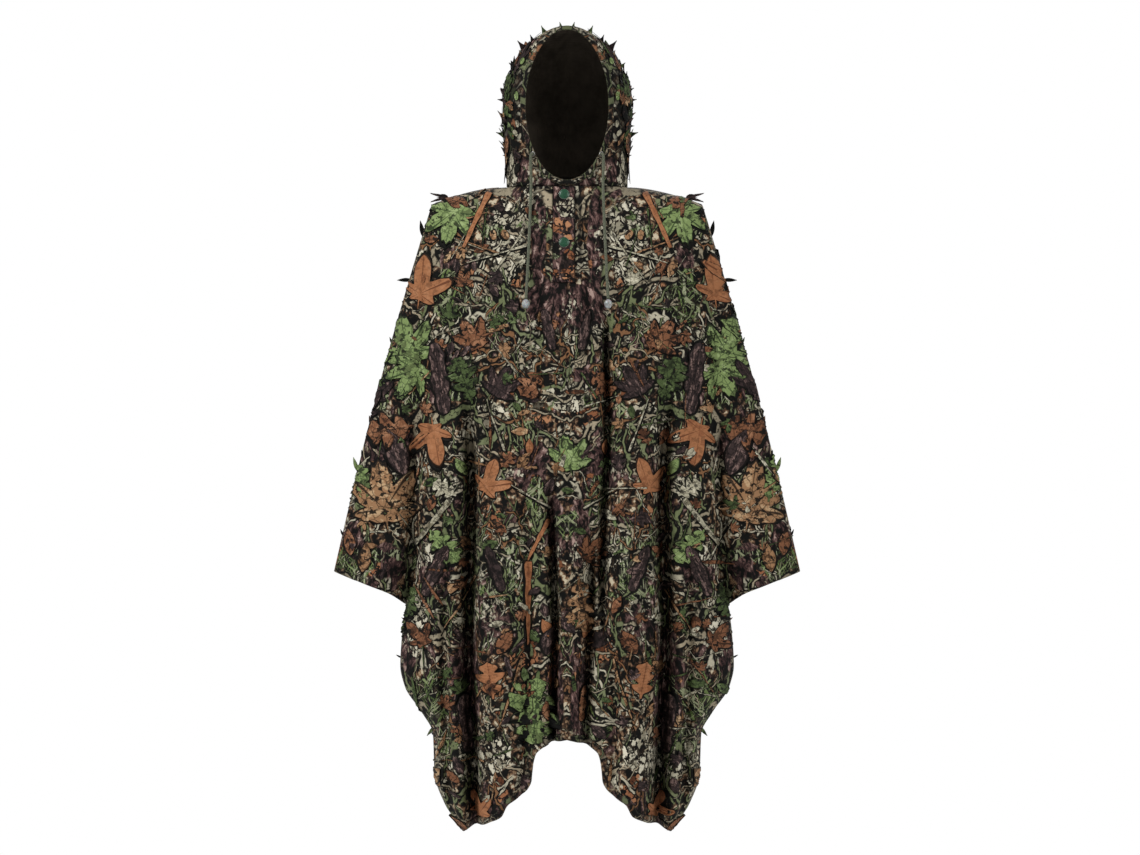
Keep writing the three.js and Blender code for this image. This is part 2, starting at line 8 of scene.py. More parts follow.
import bmesh
import bpy
import numpy as np
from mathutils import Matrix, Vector


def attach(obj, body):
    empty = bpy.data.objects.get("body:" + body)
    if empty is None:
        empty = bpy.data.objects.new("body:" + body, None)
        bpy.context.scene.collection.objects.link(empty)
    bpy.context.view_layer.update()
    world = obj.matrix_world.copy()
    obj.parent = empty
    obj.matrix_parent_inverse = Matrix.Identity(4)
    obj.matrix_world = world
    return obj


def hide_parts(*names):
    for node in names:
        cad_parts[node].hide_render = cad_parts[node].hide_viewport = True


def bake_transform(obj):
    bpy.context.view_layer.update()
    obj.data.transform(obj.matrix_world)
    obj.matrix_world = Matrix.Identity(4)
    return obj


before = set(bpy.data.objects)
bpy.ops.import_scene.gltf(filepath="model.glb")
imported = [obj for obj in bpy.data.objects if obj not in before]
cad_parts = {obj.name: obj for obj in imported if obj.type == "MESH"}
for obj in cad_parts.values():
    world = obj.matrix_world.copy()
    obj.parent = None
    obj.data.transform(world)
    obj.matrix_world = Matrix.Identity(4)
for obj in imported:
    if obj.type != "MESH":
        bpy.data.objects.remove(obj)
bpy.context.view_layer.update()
MM = 0.001
SEED = 20


# ------------------------------------------------------------------ small maths
def clamp(t):
    return np.clip(t, 0.0, 1.0)


def smooth(low, high, t):
    s = clamp((np.asarray(t, float) - low) / (high - low))
    return s * s * (3 - 2 * s)


def curve(points):
    """A smooth curve through (place, value) points that doesn't overshoot them."""
    at = np.array(points, float)
    place, value = at[:, 0], at[:, 1]
    steps = np.diff(value) / np.diff(place)
    slope = np.empty(len(place))
    slope[0], slope[-1] = steps[0], steps[-1]
    for i in range(1, len(place) - 1):
        before, after = steps[i - 1], steps[i]
        slope[i] = 0 if before * after <= 0 else 2 * before * after / (before + after)

    def value_at(t):
        t = np.clip(np.asarray(t, float), place[0], place[-1])
        i = np.clip(np.searchsorted(place, t, side="right") - 1, 0, len(place) - 2)
        width = place[i + 1] - place[i]
        s = (t - place[i]) / width
        rise = (2 * s**3 - 3 * s**2 + 1) * value[i] + (3 * s**2 - 2 * s**3) * value[i + 1]
        return rise + width * ((s**3 - 2 * s**2 + s) * slope[i] + (s**3 - s**2) * slope[i + 1])

    return value_at


def ripples(seed, count, longest, shortest, tall):
    """A repeatable crumple of sine waves over (x, z). tall stretches it along z."""
    rng = np.random.default_rng(seed)
    lengths = np.exp(rng.uniform(np.log(shortest), np.log(longest), count))
    angles = rng.uniform(0, 2 * np.pi, count)
    phases = rng.uniform(0, 2 * np.pi, count)

    def height(x, z):
        total = np.zeros(np.broadcast(x, z).shape)
        for length, angle, phase in zip(lengths, angles, phases):
            k = 2 * np.pi / length
            along = np.cos(angle) * x + np.sin(angle) * z / tall
            total += (length / longest) * np.sin(k * along + phase)
        return total / math.sqrt(count)

    return height


# ------------------------------------------------------------------ driving dimensions, in millimetres
CLOTH, LEAF_CLOTH, BINDING, SEAM_CLOTH = 1.2, 0.5, 0.8, 0.4
FLAP_CLOTH, UNDERLAP_CLOTH, RIM = 1.8, 1.4, 0.12
NECK_X, NECK_Y, NECK_Z, NECK_RISE = 104, 90, 9, 5
TIP_X, TIP_Z, SHOULDER_ROUND = 232, -20, 100
WRIST_X, WRIST_Z = 401, -651
UNDERARM = -708
ARM_DEPTH = 58
PLACKET_LEFT, PLACKET_RIGHT, PLACKET_TOP, PLACKET_BOTTOM = 14, -24, -1, -168
PANELS_MEET = 150
HEM_LOW, SLEEVE_LOW = 1096, -665
HOOD_RADIUS = 105
SLOPE = 0.2012
FACE_X, FACE_HEIGHT, FACE_Z, FACE_HEM = 70, 127, 142, 10
SNAP_X, SNAP_Z = -5, (-15, -99)
HEM = 12

body_half_width = curve([
    (20, 232), (100, 240), (300, 247), (500, 252), (620, 258), (708, 277), (760, 284), (813, 287), (850, 279),
    (894, 250), (930, 231), (1000, 228), (1050, 211), (1096, 180),
])
front_depth = curve([(-4, 90), (165, 124), (400, 134), (925, 148), (1096, 150)])
back_depth = curve([(-14, 90), (80, 112), (200, 120), (500, 124), (925, 138), (1096, 140)])
front_hem = curve([
    (0, 925), (0.1, 931), (0.22, 948), (0.245, 966), (0.262, 998), (0.36, 1022), (0.45, 1034), (0.53, 1055),
    (0.65, 1067), (0.8, 1082), (1, 1096),
])
back_hem = curve([(0, 900), (0.2, 922), (0.35, 990), (0.55, 1036), (0.8, 1078), (1, 1096)])
sleeve_hem = curve([(0, 708), (0.12, 697), (0.25, 687), (0.5, 674), (1, 651)])

# Folds that hang from the shoulders: place across at the chest and at the hem, width, depth, and the drops
# where the fold starts, is full and ends. A positive depth stands out.
FRONT_FOLDS = [
    (-168, -160, 12, -74, 300, 500, 1240), (168, 158, 12, -74, 300, 500, 1240),
    (66, 60, 7, -48, 180, 300, 760), (-26, -20, 7, -54, 470, 600, 1000), (38, 32, 8, -40, 560, 680, 1000),
    (8, 8, 20, 16, 280, 480, 1000), (-104, -112, 30, 22, 320, 640, 1240),
    (112, 104, 30, 20, 320, 640, 1240), (-222, -206, 22, 18, 360, 640, 1240),
    (222, 208, 22, 18, 360, 640, 1240), (-64, -74, 9, -13, 420, 700, 1200),
    (134, 142, 9, -10, 500, 760, 1240), (-134, -130, 8, -9, 240, 420, 800),
    (-206, -204, 9, -24, 560, 760, 1240), (206, 202, 9, -24, 520, 740, 1240),
    (90, 70, 9, -12, 640, 820, 1240), (38, 36, 7, -9, 40, 110, 330), (30, 27, 5, -6, 30, 90, 300),
    (-42, -40, 7, -7, 60, 140, 380),
]
BACK_FOLDS = [
    (-178, -170, 16, -48, 280, 560, 1240), (178, 168, 16, -48, 280, 560, 1240),
    (-64, -58, 14, -42, 320, 600, 1240), (58, 60, 14, -42, 280, 560, 1240),
    (-118, -116, 32, 20, 300, 600, 1240), (116, 112, 32, 20, 300, 600, 1240),
    (0, 4, 30, 18, 340, 600, 1240), (-30, -24, 9, -10, 520, 760, 1240), (90, 88, 9, -10, 420, 700, 1240),
    (-146, -140, 9, -9, 500, 760, 1240), (140, 134, 9, -9, 500, 760, 1240),
    (212, 204, 9, -10, 560, 760, 1240), (-214, -204, 9, -10, 560, 760, 1240),
]
crumple = ripples(SEED, 26, 90, 22, 2.2)
soft_creases = ripples(SEED + 1, 16, 240, 90, 2.6)


def folds(table, x, drop):
    out = np.zeros(np.broadcast(x, drop).shape)
    for top, low, wide, deep, start, full, end in table:
        centre = top + (low - top) * clamp((drop - start) / (1100 - start))
        centre = centre + 3.5 * np.sin(drop / 83 + top)
        along = smooth(start, full, drop) * (1 - smooth(end - 140, end + 60, drop))
        out += deep * along * np.exp(-(((x - centre) / wide) ** 2))
    return out


def side_crease(x, drop):
    """The body's edge standing in front of the sleeve, and the crease behind it."""
    out = np.abs(x) - body_half_width(drop)
    along = smooth(370, 440, drop) * (1 - smooth(600, 690, drop))
    return along * (8 * np.exp(-(((out + 14) / 12) ** 2)) - 16 * np.exp(-(((out - 9) / 8) ** 2)))


# ------------------------------------------------------------------ the cape's surface
def rounded(t):
    return np.sqrt(1 - (1 - clamp(t)) ** 2)


def side_depth(drop):
    return 0.3 + ARM_DEPTH * (1 - smooth(540, -UNDERARM, drop))


def seam_at(across, face):
    """(y, z) of the neck and shoulder seam at a share of the way to the shoulder's tip."""
    x = across * TIP_X
    inside = np.sqrt(np.clip(1 - (x / NECK_X) ** 2, 0, 1))
    out = clamp((x - NECK_X) / (TIP_X - NECK_X))
    y = face * np.maximum(0.3, NECK_Y * inside)
    z = np.where(x < NECK_X, NECK_Z + face * NECK_RISE * inside, NECK_Z + (TIP_Z - NECK_Z) * out**1.6)
    return y, z


def section(across, drop, face):
    side = side_depth(drop)
    middle = front_depth(drop) if face < 0 else back_depth(drop)
    return face * (side + (middle - side) * (1 - clamp(across) ** 2.3) ** 0.62)


def placket_plane(z):
    return -NECK_Y + SLOPE * (z - NECK_Z + NECK_RISE)


def sleeve_half_width(drop):
    t = clamp((drop + TIP_Z) / (TIP_Z - WRIST_Z))
    return TIP_X + (WRIST_X - TIP_X) * t + 8 * np.sin(np.pi * t)


def body_y(x, z, face):
    drop = -z
    width = body_half_width(drop)
    across = clamp(np.abs(x) / width)
    seam_y, seam_z = seam_at(across, face)
    settle = 1 - rounded((seam_z - z) / SHOULDER_ROUND)
    y = section(across, drop, face) + (seam_y - section(across, -seam_z, face)) * settle
    if face < 0:
        pressed = (1 - smooth(28, 72, np.abs(x))) * (1 - smooth(172, 230, drop))
        y = y + (placket_plane(z) - y) * pressed
    else:
        pressed = 0
    near_side = 1 - smooth(0.93, 1, across)
    fold = folds(FRONT_FOLDS if face < 0 else BACK_FOLDS, x, drop) * near_side
    low = smooth(120, 500, drop)
    fold = fold + (1.1 + 1.3 * low) * crumple(x, z + 400 * face) * near_side * (1 - pressed)
    fold = fold + (1 + 3.5 * low) * soft_creases(x, z - 300 * face) * near_side * (1 - pressed)
    fold = fold * smooth(0, 60, seam_z - z)
    return y + face * (fold + side_crease(x, drop))


def sleeve_y(x, z, face):
    drop = -z
    inner = body_half_width(drop)
    outer = np.maximum(sleeve_half_width(drop), inner + 1)
    across = clamp((np.abs(x) - inner) / (outer - inner))
    settle = rounded((TIP_Z - z) / SHOULDER_ROUND)
    at_body = side_depth(drop)
    bulge = np.maximum(0, (ARM_DEPTH - at_body) * np.sin(np.pi * across) ** 0.8)
    depth = (at_body * np.sqrt(1 - across * across) + bulge) * settle
    loose = np.sin(np.pi * across) * smooth(60, 260, drop)
    lean = (x * np.sign(x) - TIP_X) * 0.35
    wave = 4.5 * np.sin(drop / 41 + lean / 17) + 3 * np.sin(drop / 23 - lean / 9 + 1)
    depth = depth + loose * (wave * 0.8 + 1.6 * crumple(x, z) + 3 * soft_creases(x, z)) + side_crease(x, drop)
    return face * np.maximum(0.3, depth)


def cloth_y(x, z, face):
    """How far front to back the cape's cloth is at a place across and a height."""
    inner = body_half_width(-z)
    on_sleeve = (np.abs(x) > inner) & (z > UNDERARM - 20)
    return np.where(on_sleeve, sleeve_y(x, z, face), body_y(x, z, face))


def outline_x(z):
    """Half the width of the whole cape at a height."""
    sleeve = np.where(z > SLEEVE_LOW, sleeve_half_width(-z), 0)
    return np.maximum(np.where(z < TIP_Z, body_half_width(-z), TIP_X), sleeve)


def seam_height(x, face):
    """The height of the shoulder seam and the neck seam across the cape."""
    return seam_at(clamp(np.abs(x) / TIP_X), face)[1]


def on_one_face(x, z, face, off):
    """A point off the cloth of the front or the back, along its outward normal, in millimetres."""
    edge = outline_x(z) - 1
    held = np.clip(x, -edge, edge)
    y = cloth_y(held, z, face)
    right, left = np.clip(held + 2, -edge, edge), np.clip(held - 2, -edge, edge)
    dx = np.clip((cloth_y(right, z, face) - cloth_y(left, z, face)) / 4, -2, 2)
    dz = np.clip((cloth_y(held, z + 2, face) - cloth_y(held, z - 2, face)) / 4, -2, 2)
    size = np.sqrt(1 + dx * dx + dz * dz)
    return np.stack([x - face * off * dx / size, y + face * off / size, z - face * off * dz / size], -1)


def cape_point(x, z, face, off=0.0):
    """A point on the cape's cloth. What reaches past its side or its shoulder lies on the other face."""
    hem = (front_hem if face < 0 else back_hem)(clamp(np.abs(x) / body_half_width(-z)))
    z = np.where(np.abs(x) < body_half_width(-z), np.maximum(z, 1 - hem), z)
    top = seam_height(x, face)
    over_top = z > top
    z = np.where(over_top, 2 * top - z, z)
    edge = outline_x(z)
    over_side = np.abs(x) > edge
    x = np.where(over_side, np.sign(x) * (2 * edge - np.abs(x)), x)
    other = (over_top ^ over_side)[..., None]
    return np.where(other, on_one_face(x, z, -face, off), on_one_face(x, z, face, off))


# ------------------------------------------------------------------ the hood's surface
HOOD_SLICES = np.array([
    # share of the way up, height, half width, front, back
    (0, 4, 104, -90, 90), (0.15, 55, 105, -92, 104), (0.3, 105, 109, -96, 117), (0.45, 150, 111, -98, 125),
    (0.6, 193, 103, -97, 124), (0.7, 222, 91, -94, 114), (0.8, 248, 73, -89, 95), (0.87, 263, 56, -84, 74),
    (0.93, 272, 40, -79, 50), (0.97, 277, 24, -74, 20), (1, 279, 0.2, -27, -26.8),
])
hood_height = curve(HOOD_SLICES[:, [0, 1]])
hood_half_width = curve(HOOD_SLICES[:, [0, 2]])
hood_front = curve(HOOD_SLICES[:, [0, 3]])
hood_back = curve(HOOD_SLICES[:, [0, 4]])
hood_up_at = curve(HOOD_SLICES[:, [1, 0]])
hood_crumple = ripples(SEED + 2, 22, 70, 18, 1.3)


def face_half_width(z, grow):
    t = (z - FACE_Z) / (FACE_HEIGHT + grow)
    return np.where(t * t < 1, (FACE_X + grow) * np.sqrt(np.clip(1 - t * t, 0, 1)), 0)


def hood_point(angle, up, off=0.0):
    """A point of the hood at a turn from straight ahead, in millimetres."""
    z = hood_height(up)
    width, front, back = hood_half_width(up), hood_front(up), hood_back(up)
    middle, depth = (front + back) / 2, (back - front) / 2
    loose = smooth(0.1, 0.3, up) * (1 - smooth(0.85, 1, up))
    gather = np.exp(-((np.abs(angle) - opening_angle(z)) / 0.12) ** 2) * np.sin(z / 3.1 + 2 * np.sin(z / 23))
    bump = off + loose * (1.6 * hood_crumple(np.abs(angle) * HOOD_RADIUS, z) + 0.9 * gather)
    return np.stack([
        (width + bump) * np.sin(angle),
        middle - (depth + bump) * np.cos(angle),
        z + 0 * angle,
    ], -1)


def opening_angle(z, grow=0.55 * FACE_HEM):
    width = np.maximum(0.5, hood_half_width(hood_up_at(z)))
    return np.arcsin(np.clip(face_half_width(z, grow) / width, 0, 1))


# ------------------------------------------------------------------ where the print's patches lie
# Each patch: place from the middle and height, and its half width and half height. Both sides are alike.
LICHEN_PATCHES = [
    (99, -80, 36, 68), (82, -283, 30, 32), (219, -255, 17, 20), (130, -392, 40, 30), (12, -352, 22, 24),
    (206, -508, 24, 20), (241, -731, 30, 34), (163, -977, 32, 28), (354, -515, 18, 40), (46, -250, 22, 26),
    (250, -120, 12, 40), (92, -620, 28, 40), (60, -1000, 26, 30), (290, -560, 20, 24), (116, -940, 22, 30),
    (36, -700, 16, 40), (172, -440, 14, 30), (222, -1010, 16, 40),
]
BARK_PATCHES = [
    (214, -321, 22, 60), (290, -438, 36, 36), (222, -640, 30, 44), (30, -200, 34, 44), (48, -90, 14, 90),
    (372, -600, 26, 34), (310, -632, 36, 30), (172, -840, 28, 80), (60, -470, 26, 40), (200, -120, 16, 40),
    (270, -780, 16, 50), (20, -580, 18, 60), (130, -700, 22, 50), (20, -860, 16, 70), (240, -1060, 30, 26),
]
RUST_PATCHES = [
    (160, -252, 26, 26), (300, -410, 36, 18), (83, -336, 26, 16), (38, -378, 20, 26), (118, -850, 16, 32),
    (130, -560, 22, 28), (205, -560, 16, 20), (90, -160, 12, 22), (156, -150, 16, 18), (70, -780, 24, 30),
    (240, -960, 20, 30), (110, -1010, 20, 26), (340, -640, 24, 16), (30, -130, 14, 20),
]
GRASS_PATCHES = [
    (200, -175, 28, 46), (178, -335, 26, 26), (275, -488, 24, 18), (226, -864, 28, 52), (110, -655, 22, 34),
    (50, -520, 18, 34), (120, -210, 26, 40), (50, -885, 26, 46), (262, -350, 18, 26), (150, -610, 18, 40),
    (320, -330, 16, 40), (200, -930, 20, 30), (78, -420, 14, 22),
]
# How far the print is shifted in depth beside the middle, and how far out from the middle that reaches.
UNLIKE_SHIFT, UNLIKE_REACH = 34, 90
# Where in depth each cloth takes its print from, so that no two cloths are printed alike.
FACE_APART, HOOD_APART, CHANNEL_APART, SEAM_APART, PLACKET_APART = 300, 900, 950, 1200, -300


def patch_weight(patches, x, z):
    """1 in the middle of a patch and 0 well outside all of them."""
    weight = np.zeros(np.shape(x))
    for at_x, at_z, half_x, half_z in patches:
        far = np.hypot((np.abs(x) - at_x) / half_x, (z - at_z) / half_z)
        weight = np.maximum(weight, 1 - smooth(0.6, 1.35, far))
    return weight


def unlike(x):
    """A shift of the print that keeps its two sides from being mirror images near the middle."""
    return UNLIKE_SHIFT * np.sin(np.pi * np.clip(x, -UNLIKE_REACH, UNLIKE_REACH) / UNLIKE_REACH)


def print_place(points, depth):
    """Where the print's shader takes its colours from, alike on both sides."""
    return np.stack([np.abs(points[:, 0]), points[:, 2], depth + 0 * points[:, 0]], -1) * MM


def print_attributes(points, apart=0.0, patches=True):
    """What the printed cloth's shader reads: its place on the cloth, which patches it lies in, and a painted
    shadow beside the placket flap's edge.
    """
    x, z = points[:, 0], points[:, 2]
    place = print_place(points, apart + points[:, 1] + unlike(x))
    tables = (LICHEN_PATCHES, BARK_PATCHES, RUST_PATCHES)
    zones = np.stack([patch_weight(table, x, z) * patches for table in tables], -1)
    # Painted shadow: a dark stripe on the front's left cloth, beside the placket flap's free edge.
    painted_flap_shadow = 0.85 * patches * np.exp(-(((x - 22) / 3.5) ** 2)) * smooth(-150, -110, z)
    grass = patch_weight(GRASS_PATCHES, x, z) * patches
    return [("cloth", place), ("zones", zones), ("grass", grass), ("dark", painted_flap_shadow)]


# ------------------------------------------------------------------ meshes
def make_mesh(name, points, faces, attributes=()):
    """A mesh object from points in millimetres. attributes are (name, one vector or number a point)."""
    mesh = bpy.data.meshes.new(name)
    mesh.from_pydata((np.asarray(points) * MM).tolist(), [], [list(map(int, f)) for f in faces])
    for label, values in attributes:
        values = np.asarray(values, np.float32)
        if values.ndim == 2:
            mesh.attributes.new(label, "FLOAT_VECTOR", "POINT").data.foreach_set("vector", values.ravel())
        else:
            mesh.attributes.new(label, "FLOAT", "POINT").data.foreach_set("value", values)
    mesh.shade_smooth()
    piece = bpy.data.objects.new(name, mesh)
    bpy.context.scene.collection.objects.link(piece)
    return piece


def grid_faces(rows, columns, flip=False, closed=False):
    """Quads over a grid of points stored row by row."""
    around = columns if closed else columns - 1
    faces = []
    for r in range(rows - 1):
        for c in range(around):
            n = (c + 1) % columns
            quad = [r * columns + c, r * columns + n, (r + 1) * columns + n, (r + 1) * columns + c]
            faces.append(quad[::-1] if flip else quad)
    return faces


def join_close(piece, distance):
    """Joins points that lie closer than a distance in metres."""
    work = bmesh.new()
    work.from_mesh(piece.data)
    bmesh.ops.remove_doubles(work, verts=work.verts, dist=distance)
    work.to_mesh(piece.data)
    work.free()


def thicken(piece, thickness, inside=None):
    """Gives a surface a thickness in millimetres, behind its outside."""
    solid = piece.modifiers.new("thickness", "SOLIDIFY")
    solid.thickness = thickness * MM
    solid.offset = -1
    if inside is not None:
        piece.data.materials.append(inside)
        solid.material_offset = len(piece.data.materials) - 1
    apply_modifiers(piece)


def apply_modifiers(piece):
    bpy.context.view_layer.update()
    with_modifiers = piece.evaluated_get(bpy.context.evaluated_depsgraph_get())
    made = bpy.data.meshes.new_from_object(with_modifiers)
    piece.modifiers.clear()
    piece.data = made


# ------------------------------------------------------------------ materials
class Shader:
    """A material's node tree, written as calls. A socket given as a node's input is linked to it.

    An input is named as Blender names it, or i and its number.
    """

    def __init__(self, name):
        self.material = bpy.data.materials.new(name)
        self.material.use_nodes = True
        self.tree = self.material.node_tree
        self.surface = self.tree.nodes["Principled BSDF"]

    def node(self, kind, out=0, **inputs):
        made = self.tree.nodes.new(kind)
        for key, value in inputs.items():
            numbered = key[0] == "i" and key[1:].isdigit()
            if hasattr(made, key):
                setattr(made, key, value)
            else:
                self.feed(made.inputs[int(key[1:]) if numbered else key], value)
        return made.outputs[out]

    def feed(self, socket, value):
        if isinstance(value, bpy.types.NodeSocket):
            self.tree.links.new(value, socket)
        else:
            socket.default_value = value

    def math(self, operation, a, b=0.0, c=0.0):
        return self.node("ShaderNodeMath", operation=operation, i0=a, i1=b, i2=c)

    def times(self, a, b):
        return self.math("MULTIPLY", a, b)

    def scaled(self, value, by, plus):
        return self.math("MULTIPLY_ADD", value, by, plus)

    def part(self, vector, number):
        """One of a vector's three numbers."""
        return self.node("ShaderNodeSeparateXYZ", number, i0=vector)

    def own_place(self):
        """The coordinates of a piece without an attribute for them."""
        return self.node("ShaderNodeTexCoord", 3)

    def bands(self, vector, direction, scale, **settings):
        return self.node("ShaderNodeTexWave", wave_type="BANDS", bands_direction=direction, Vector=vector,
                         Scale=scale, **settings)

    def attribute(self, name, out=1):
        return self.node("ShaderNodeAttribute", out, attribute_name=name)

    def place(self, vector, move=(0, 0, 0), turn=(0, 0, 0), stretch=(1, 1, 1)):
        return self.node("ShaderNodeMapping", i0=vector, i1=move, i2=turn, i3=stretch)

    def noise(self, vector, scale, detail=3.0, roughness=0.5, out=0):
        return self.node("ShaderNodeTexNoise", out, Vector=vector, Scale=scale, Detail=detail,
                         Roughness=roughness)

    def cells(self, vector, scale, feature="F1", out=0):
        return self.node("ShaderNodeTexVoronoi", out, feature=feature, Vector=vector, Scale=scale)

    def bend(self, vector, scale, amount):
        """Moves coordinates about by a noise, so that what is drawn on them is irregular."""
        noise = self.noise(vector, scale, 3, 0.6, 1)
        shift = self.node("ShaderNodeVectorMath", operation="SUBTRACT", i0=noise, i1=(0.5, 0.5, 0.5))
        shift = self.node("ShaderNodeVectorMath", operation="MULTIPLY", i0=shift, i1=(amount, amount, amount))
        return self.node("ShaderNodeVectorMath", operation="ADD", i0=vector, i1=shift)

    def step(self, value, low, high):
        """0 below low and 1 above high, or the other way round if low is the higher."""
        return self.node("ShaderNodeMapRange", interpolation_type="SMOOTHSTEP", i0=value, i1=low, i2=high)

    def ramp(self, value, stops):
        made = self.tree.nodes.new("ShaderNodeValToRGB")
        self.feed(made.inputs[0], value)
        for i, (at, colour) in enumerate(stops):
            stop = made.color_ramp.elements[i] if i < 2 else made.color_ramp.elements.new(at)
            stop.position = at
            stop.color = (*colour, 1)
        return made.outputs[0]

    def mix(self, share, a, b):
        made = self.tree.nodes.new("ShaderNodeMix")
        made.data_type = "RGBA"
        for socket, value in zip((made.inputs[0], made.inputs[6], made.inputs[7]), (share, a, b)):
            self.feed(socket, (*value, 1) if isinstance(value, tuple) and len(value) == 3 else value)
        return made.outputs[2]

    def darkened(self, colour, threads, share):
        """A colour with painted shade between the threads of its cloth; in the open knit the dark is also its
        holes.
        """
        return self.mix(self.scaled(threads, -share, share), colour, BLACK)

    def finish(self, colour, roughness, height=None, strength=0.3, distance=0.001, **sockets):
        self.feed(self.surface.inputs["Base Color"], colour)
        self.feed(self.surface.inputs["Roughness"], roughness)
        if height is not None:
            bump = self.node("ShaderNodeBump", Strength=strength, Distance=distance, Height=height)
            self.feed(self.surface.inputs["Normal"], bump)
        for name, value in sockets.items():
            self.feed(self.surface.inputs[name.replace("_", " ")], value)
        return self.material


BLACK = (0.004, 0.004, 0.0035)
FULL_TURN = 6.2832
# How fine the knit's ribs, the loops across them, the weave inside and the tape's are. A wave of scale 1 has
# about 3.2 bands to the metre, so these give 420 ribs, 500 loops, and 460 and 610 threads.
RIB_SCALE, LOOP_SCALE = 520 / FULL_TURN * 1.6, 520 / FULL_TURN * 1.9
WEAVE_SCALE, TAPE_SCALE = 900 / FULL_TURN, 1200 / FULL_TURN


def knit(s, at):
    """Horizontal ribs of the printed mesh cloth, with the small holes between its loops."""
    ribs = s.bands(at, "Y", RIB_SCALE, Distortion=0.6, Detail=1.0)
    loops = s.bands(at, "X", LOOP_SCALE, Distortion=0.8, Detail=1.0)
    return s.times(ribs, s.scaled(loops, 0.6, 0.4))


def flakes(s, at, scale, warp, gap, keep):
    """(mask, random number) of flat flakes of lichen or bark with dark cracks between them."""
    bent = s.bend(at, scale * 0.9, warp)
    edge = s.cells(bent, scale, "DISTANCE_TO_EDGE")
    chance = s.node("ShaderNodeSeparateColor", i0=s.cells(bent, scale, "F1", 1))
    shown = s.step(chance, keep, keep + 0.02)
    return s.times(s.step(edge, gap, gap * 1.3), shown), chance


def turned_and_stretched(s, at, turn, across, along):
    """Coordinates turned, then scaled by across and along, so that a noise on them draws slanting streaks."""
    return s.node("ShaderNodeMapping", vector_type="TEXTURE", i0=at, i2=(0, 0, turn),
                  i3=(1 / across, 1 / along, 1))


def strokes(s, at, turn, across, along, low, high):
    """Thin strokes, such as grass, lying at a turn."""
    turned = turned_and_stretched(s, s.bend(at, 14, 0.02), turn, across, along)
    return s.step(s.noise(turned, 1.0, 1.5, 0.5), low, high)


def stems(s, at, turn, across, along, thin):
    """(mask, dark outline) of long, gently curved stems lying at a turn."""
    turned = turned_and_stretched(s, s.bend(at, 13, 0.06), turn, across, along)
    edge = s.cells(turned, 1.0, "DISTANCE_TO_EDGE")
    return s.step(edge, thin, thin * 0.6), s.step(edge, thin * 2.6, thin * 1.5)


def twigs(s, at, scale, thick):
    """(mask, dark outline) of a web of thin twigs."""
    bent = s.bend(at, scale * 1.3, 0.055)
    edge = s.cells(bent, scale, "DISTANCE_TO_EDGE")
    return s.step(edge, thick, thick * 0.6), s.step(edge, thick * 2.4, thick * 1.4)


# Blades of grass, and stems: turn, across and along (how many to the metre) and tone.
BLADES = (
    (0.35, 320, 24, (0.13, 0.18, 0.06)), (-0.6, 300, 20, (0.22, 0.27, 0.12)),
    (0.1, 280, 22, (0.36, 0.38, 0.24)), (-1.1, 340, 26, (0.06, 0.09, 0.03)),
    (0.85, 300, 18, (0.27, 0.29, 0.17)),
)
STEMS = (
    (0.5, 24, 4.5, (0.66, 0.61, 0.46)), (-0.8, 22, 5.0, (0.5, 0.42, 0.29)),
    (1.15, 26, 4.0, (0.6, 0.55, 0.41)), (-0.25, 28, 5.5, (0.24, 0.27, 0.14)),
    (-1.35, 20, 4.5, (0.42, 0.36, 0.25)), (0.05, 26, 5.0, (0.2, 0.23, 0.11)),
)


# Twigs: how many to the metre, where in their noise they lie, and tone.
TWIGS = ((10.0, 1.0, (0.3, 0.15, 0.07)), (14.0, 6.0, (0.5, 0.42, 0.28)))
# The colours of a patch, from its cracks to its lightest parts.
MOTTLE_TONES = [
    (0.45, BLACK), (0.48, (0.035, 0.02, 0.013)), (0.53, (0.08, 0.045, 0.028)), (0.55, (0.2, 0.115, 0.065)),
    (0.6, (0.29, 0.19, 0.11)), (0.62, (0.56, 0.48, 0.34)),
]
BARK_TONES = [
    (0.43, BLACK), (0.46, (0.03, 0.016, 0.016)), (0.53, (0.06, 0.032, 0.03)), (0.55, (0.12, 0.068, 0.06)),
    (0.62, (0.17, 0.1, 0.088)), (0.65, (0.4, 0.28, 0.24)),
]
RUST_TONES = [(0.35, (0.09, 0.03, 0.014)), (0.7, (0.27, 0.105, 0.048)), (1.0, (0.42, 0.2, 0.1))]
LICHEN_TONES = [(0.3, (0.12, 0.1, 0.07)), (0.55, (0.4, 0.37, 0.27)), (0.95, (0.78, 0.73, 0.58))]


